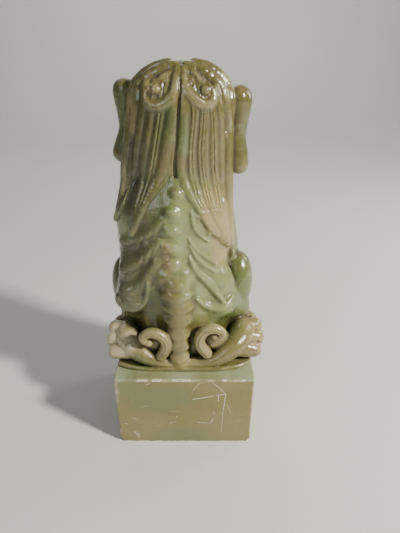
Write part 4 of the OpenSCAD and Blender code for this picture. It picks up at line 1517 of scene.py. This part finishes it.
def make_floor():
    """A pale floor that curves up into a backdrop far beyond the lion."""
    profile = [(FLOOR_FRONT_M, 0.0), (BEND_START_M, 0.0)]
    for degrees in range(10, 91, 10):
        a = math.radians(degrees)
        profile.append((BEND_START_M - BEND_R_M * math.sin(a), BEND_R_M - BEND_R_M * math.cos(a)))
    profile.append((-3.4, BACKDROP_TOP_M))
    points = [(x, y, z) for y, z in profile for x in (-FLOOR_HALF_WIDTH_M, FLOOR_HALF_WIDTH_M)]
    faces = [(2 * i, 2 * i + 1, 2 * i + 3, 2 * i + 2) for i in range(len(profile) - 1)]
    mesh = bpy.data.meshes.new("floor")
    mesh.from_pydata(points, [], faces)
    mesh.shade_smooth()
    floor = new_object("floor", mesh)
    g = Graph("pale_floor")
    shade = g.mix(g.noise(4, 2), (0.66, 0.65, 0.62, 1), (0.70, 0.69, 0.66, 1))
    shader = g.add("ShaderNodeBsdfPrincipled")
    g.put(shader.inputs["Base Color"], shade)
    g.put(shader.inputs["Roughness"], 0.75)
    mesh.materials.append(g.finish(shader))


# Each light: name, place, target, size, watts and colour. Lengths are in metres.
LION_MIDDLE_M = (0.0, 0.0, 0.16)
LIGHTS = [
    ("key", (-1.14, 0.66, 1.00), LION_MIDDLE_M, (0.15, 0.15), 44.0, (1.0, 0.94, 0.84)),
    ("rim", (-0.90, -0.45, 0.60), LION_MIDDLE_M, (0.25, 0.5), 3.0, (1.0, 0.97, 0.92)),
    ("fill", (0.75, 1.05, 0.75), LION_MIDDLE_M, (0.5, 0.5), 3.0, (0.94, 0.97, 1.0)),
    ("front", (0.30, -1.10, 0.90), LION_MIDDLE_M, (0.8, 0.8), 1.6, (1.0, 0.98, 0.95)),
    ("backdrop", (0.0, -1.7, 2.4), (0.0, -3.3, 1.0), (3.0, 0.6), 46.0, (1.0, 0.98, 0.95)),
]
SKY_COLOUR = (0.80, 0.83, 0.87, 1)
SKY_STRENGTH = 0.19
CAMERA_PLACE_M = (-0.0128, 0.2965, 0.2930)
CAMERA_DOWN_DEGREES = 26.3
LENS_MM = 27.15
SENSOR_MM = 36.0


def aim(thing, target):
    """Turns a light, which shines along its own -Z, toward the target."""
    direction = [t - p for t, p in zip(target, thing.location)]
    length = math.sqrt(sum(d * d for d in direction))
    x, y, z = (d / length for d in direction)
    thing.rotation_euler = (math.acos(-z), 0.0, math.atan2(-x, y))


def area_light(name, place, target, size, watts, colour):
    data = bpy.data.lights.new(name, "AREA")
    data.shape = "RECTANGLE"
    data.size, data.size_y = size
    data.energy = watts
    data.color = colour
    light = new_object(name, data)
    light.location = place
    aim(light, target)


def make_lights():
    for light in LIGHTS:
        area_light(*light)
    world = bpy.data.worlds.new("studio")
    world.use_nodes = True
    back = world.node_tree.nodes["Background"]
    back.inputs["Color"].default_value = SKY_COLOUR
    back.inputs["Strength"].default_value = SKY_STRENGTH
    bpy.context.scene.world = world


def make_camera():
    data = bpy.data.cameras.new("camera")
    data.sensor_fit = "VERTICAL"
    data.sensor_height = SENSOR_MM
    data.lens = LENS_MM
    data.clip_start = 0.02
    camera = new_object("camera", data)
    camera.location = CAMERA_PLACE_M
    camera.rotation_euler = (math.radians(90.0 - CAMERA_DOWN_DEGREES), 0.0, math.radians(180.0))
    bpy.context.scene.camera = camera


make_camera()
material_of, pearl_stone = make_materials()
share_out(carve_figure(), material_of)
share_out(carve_plinth(), material_of)
make_pearl(pearl_stone)
make_floor()
make_lights()
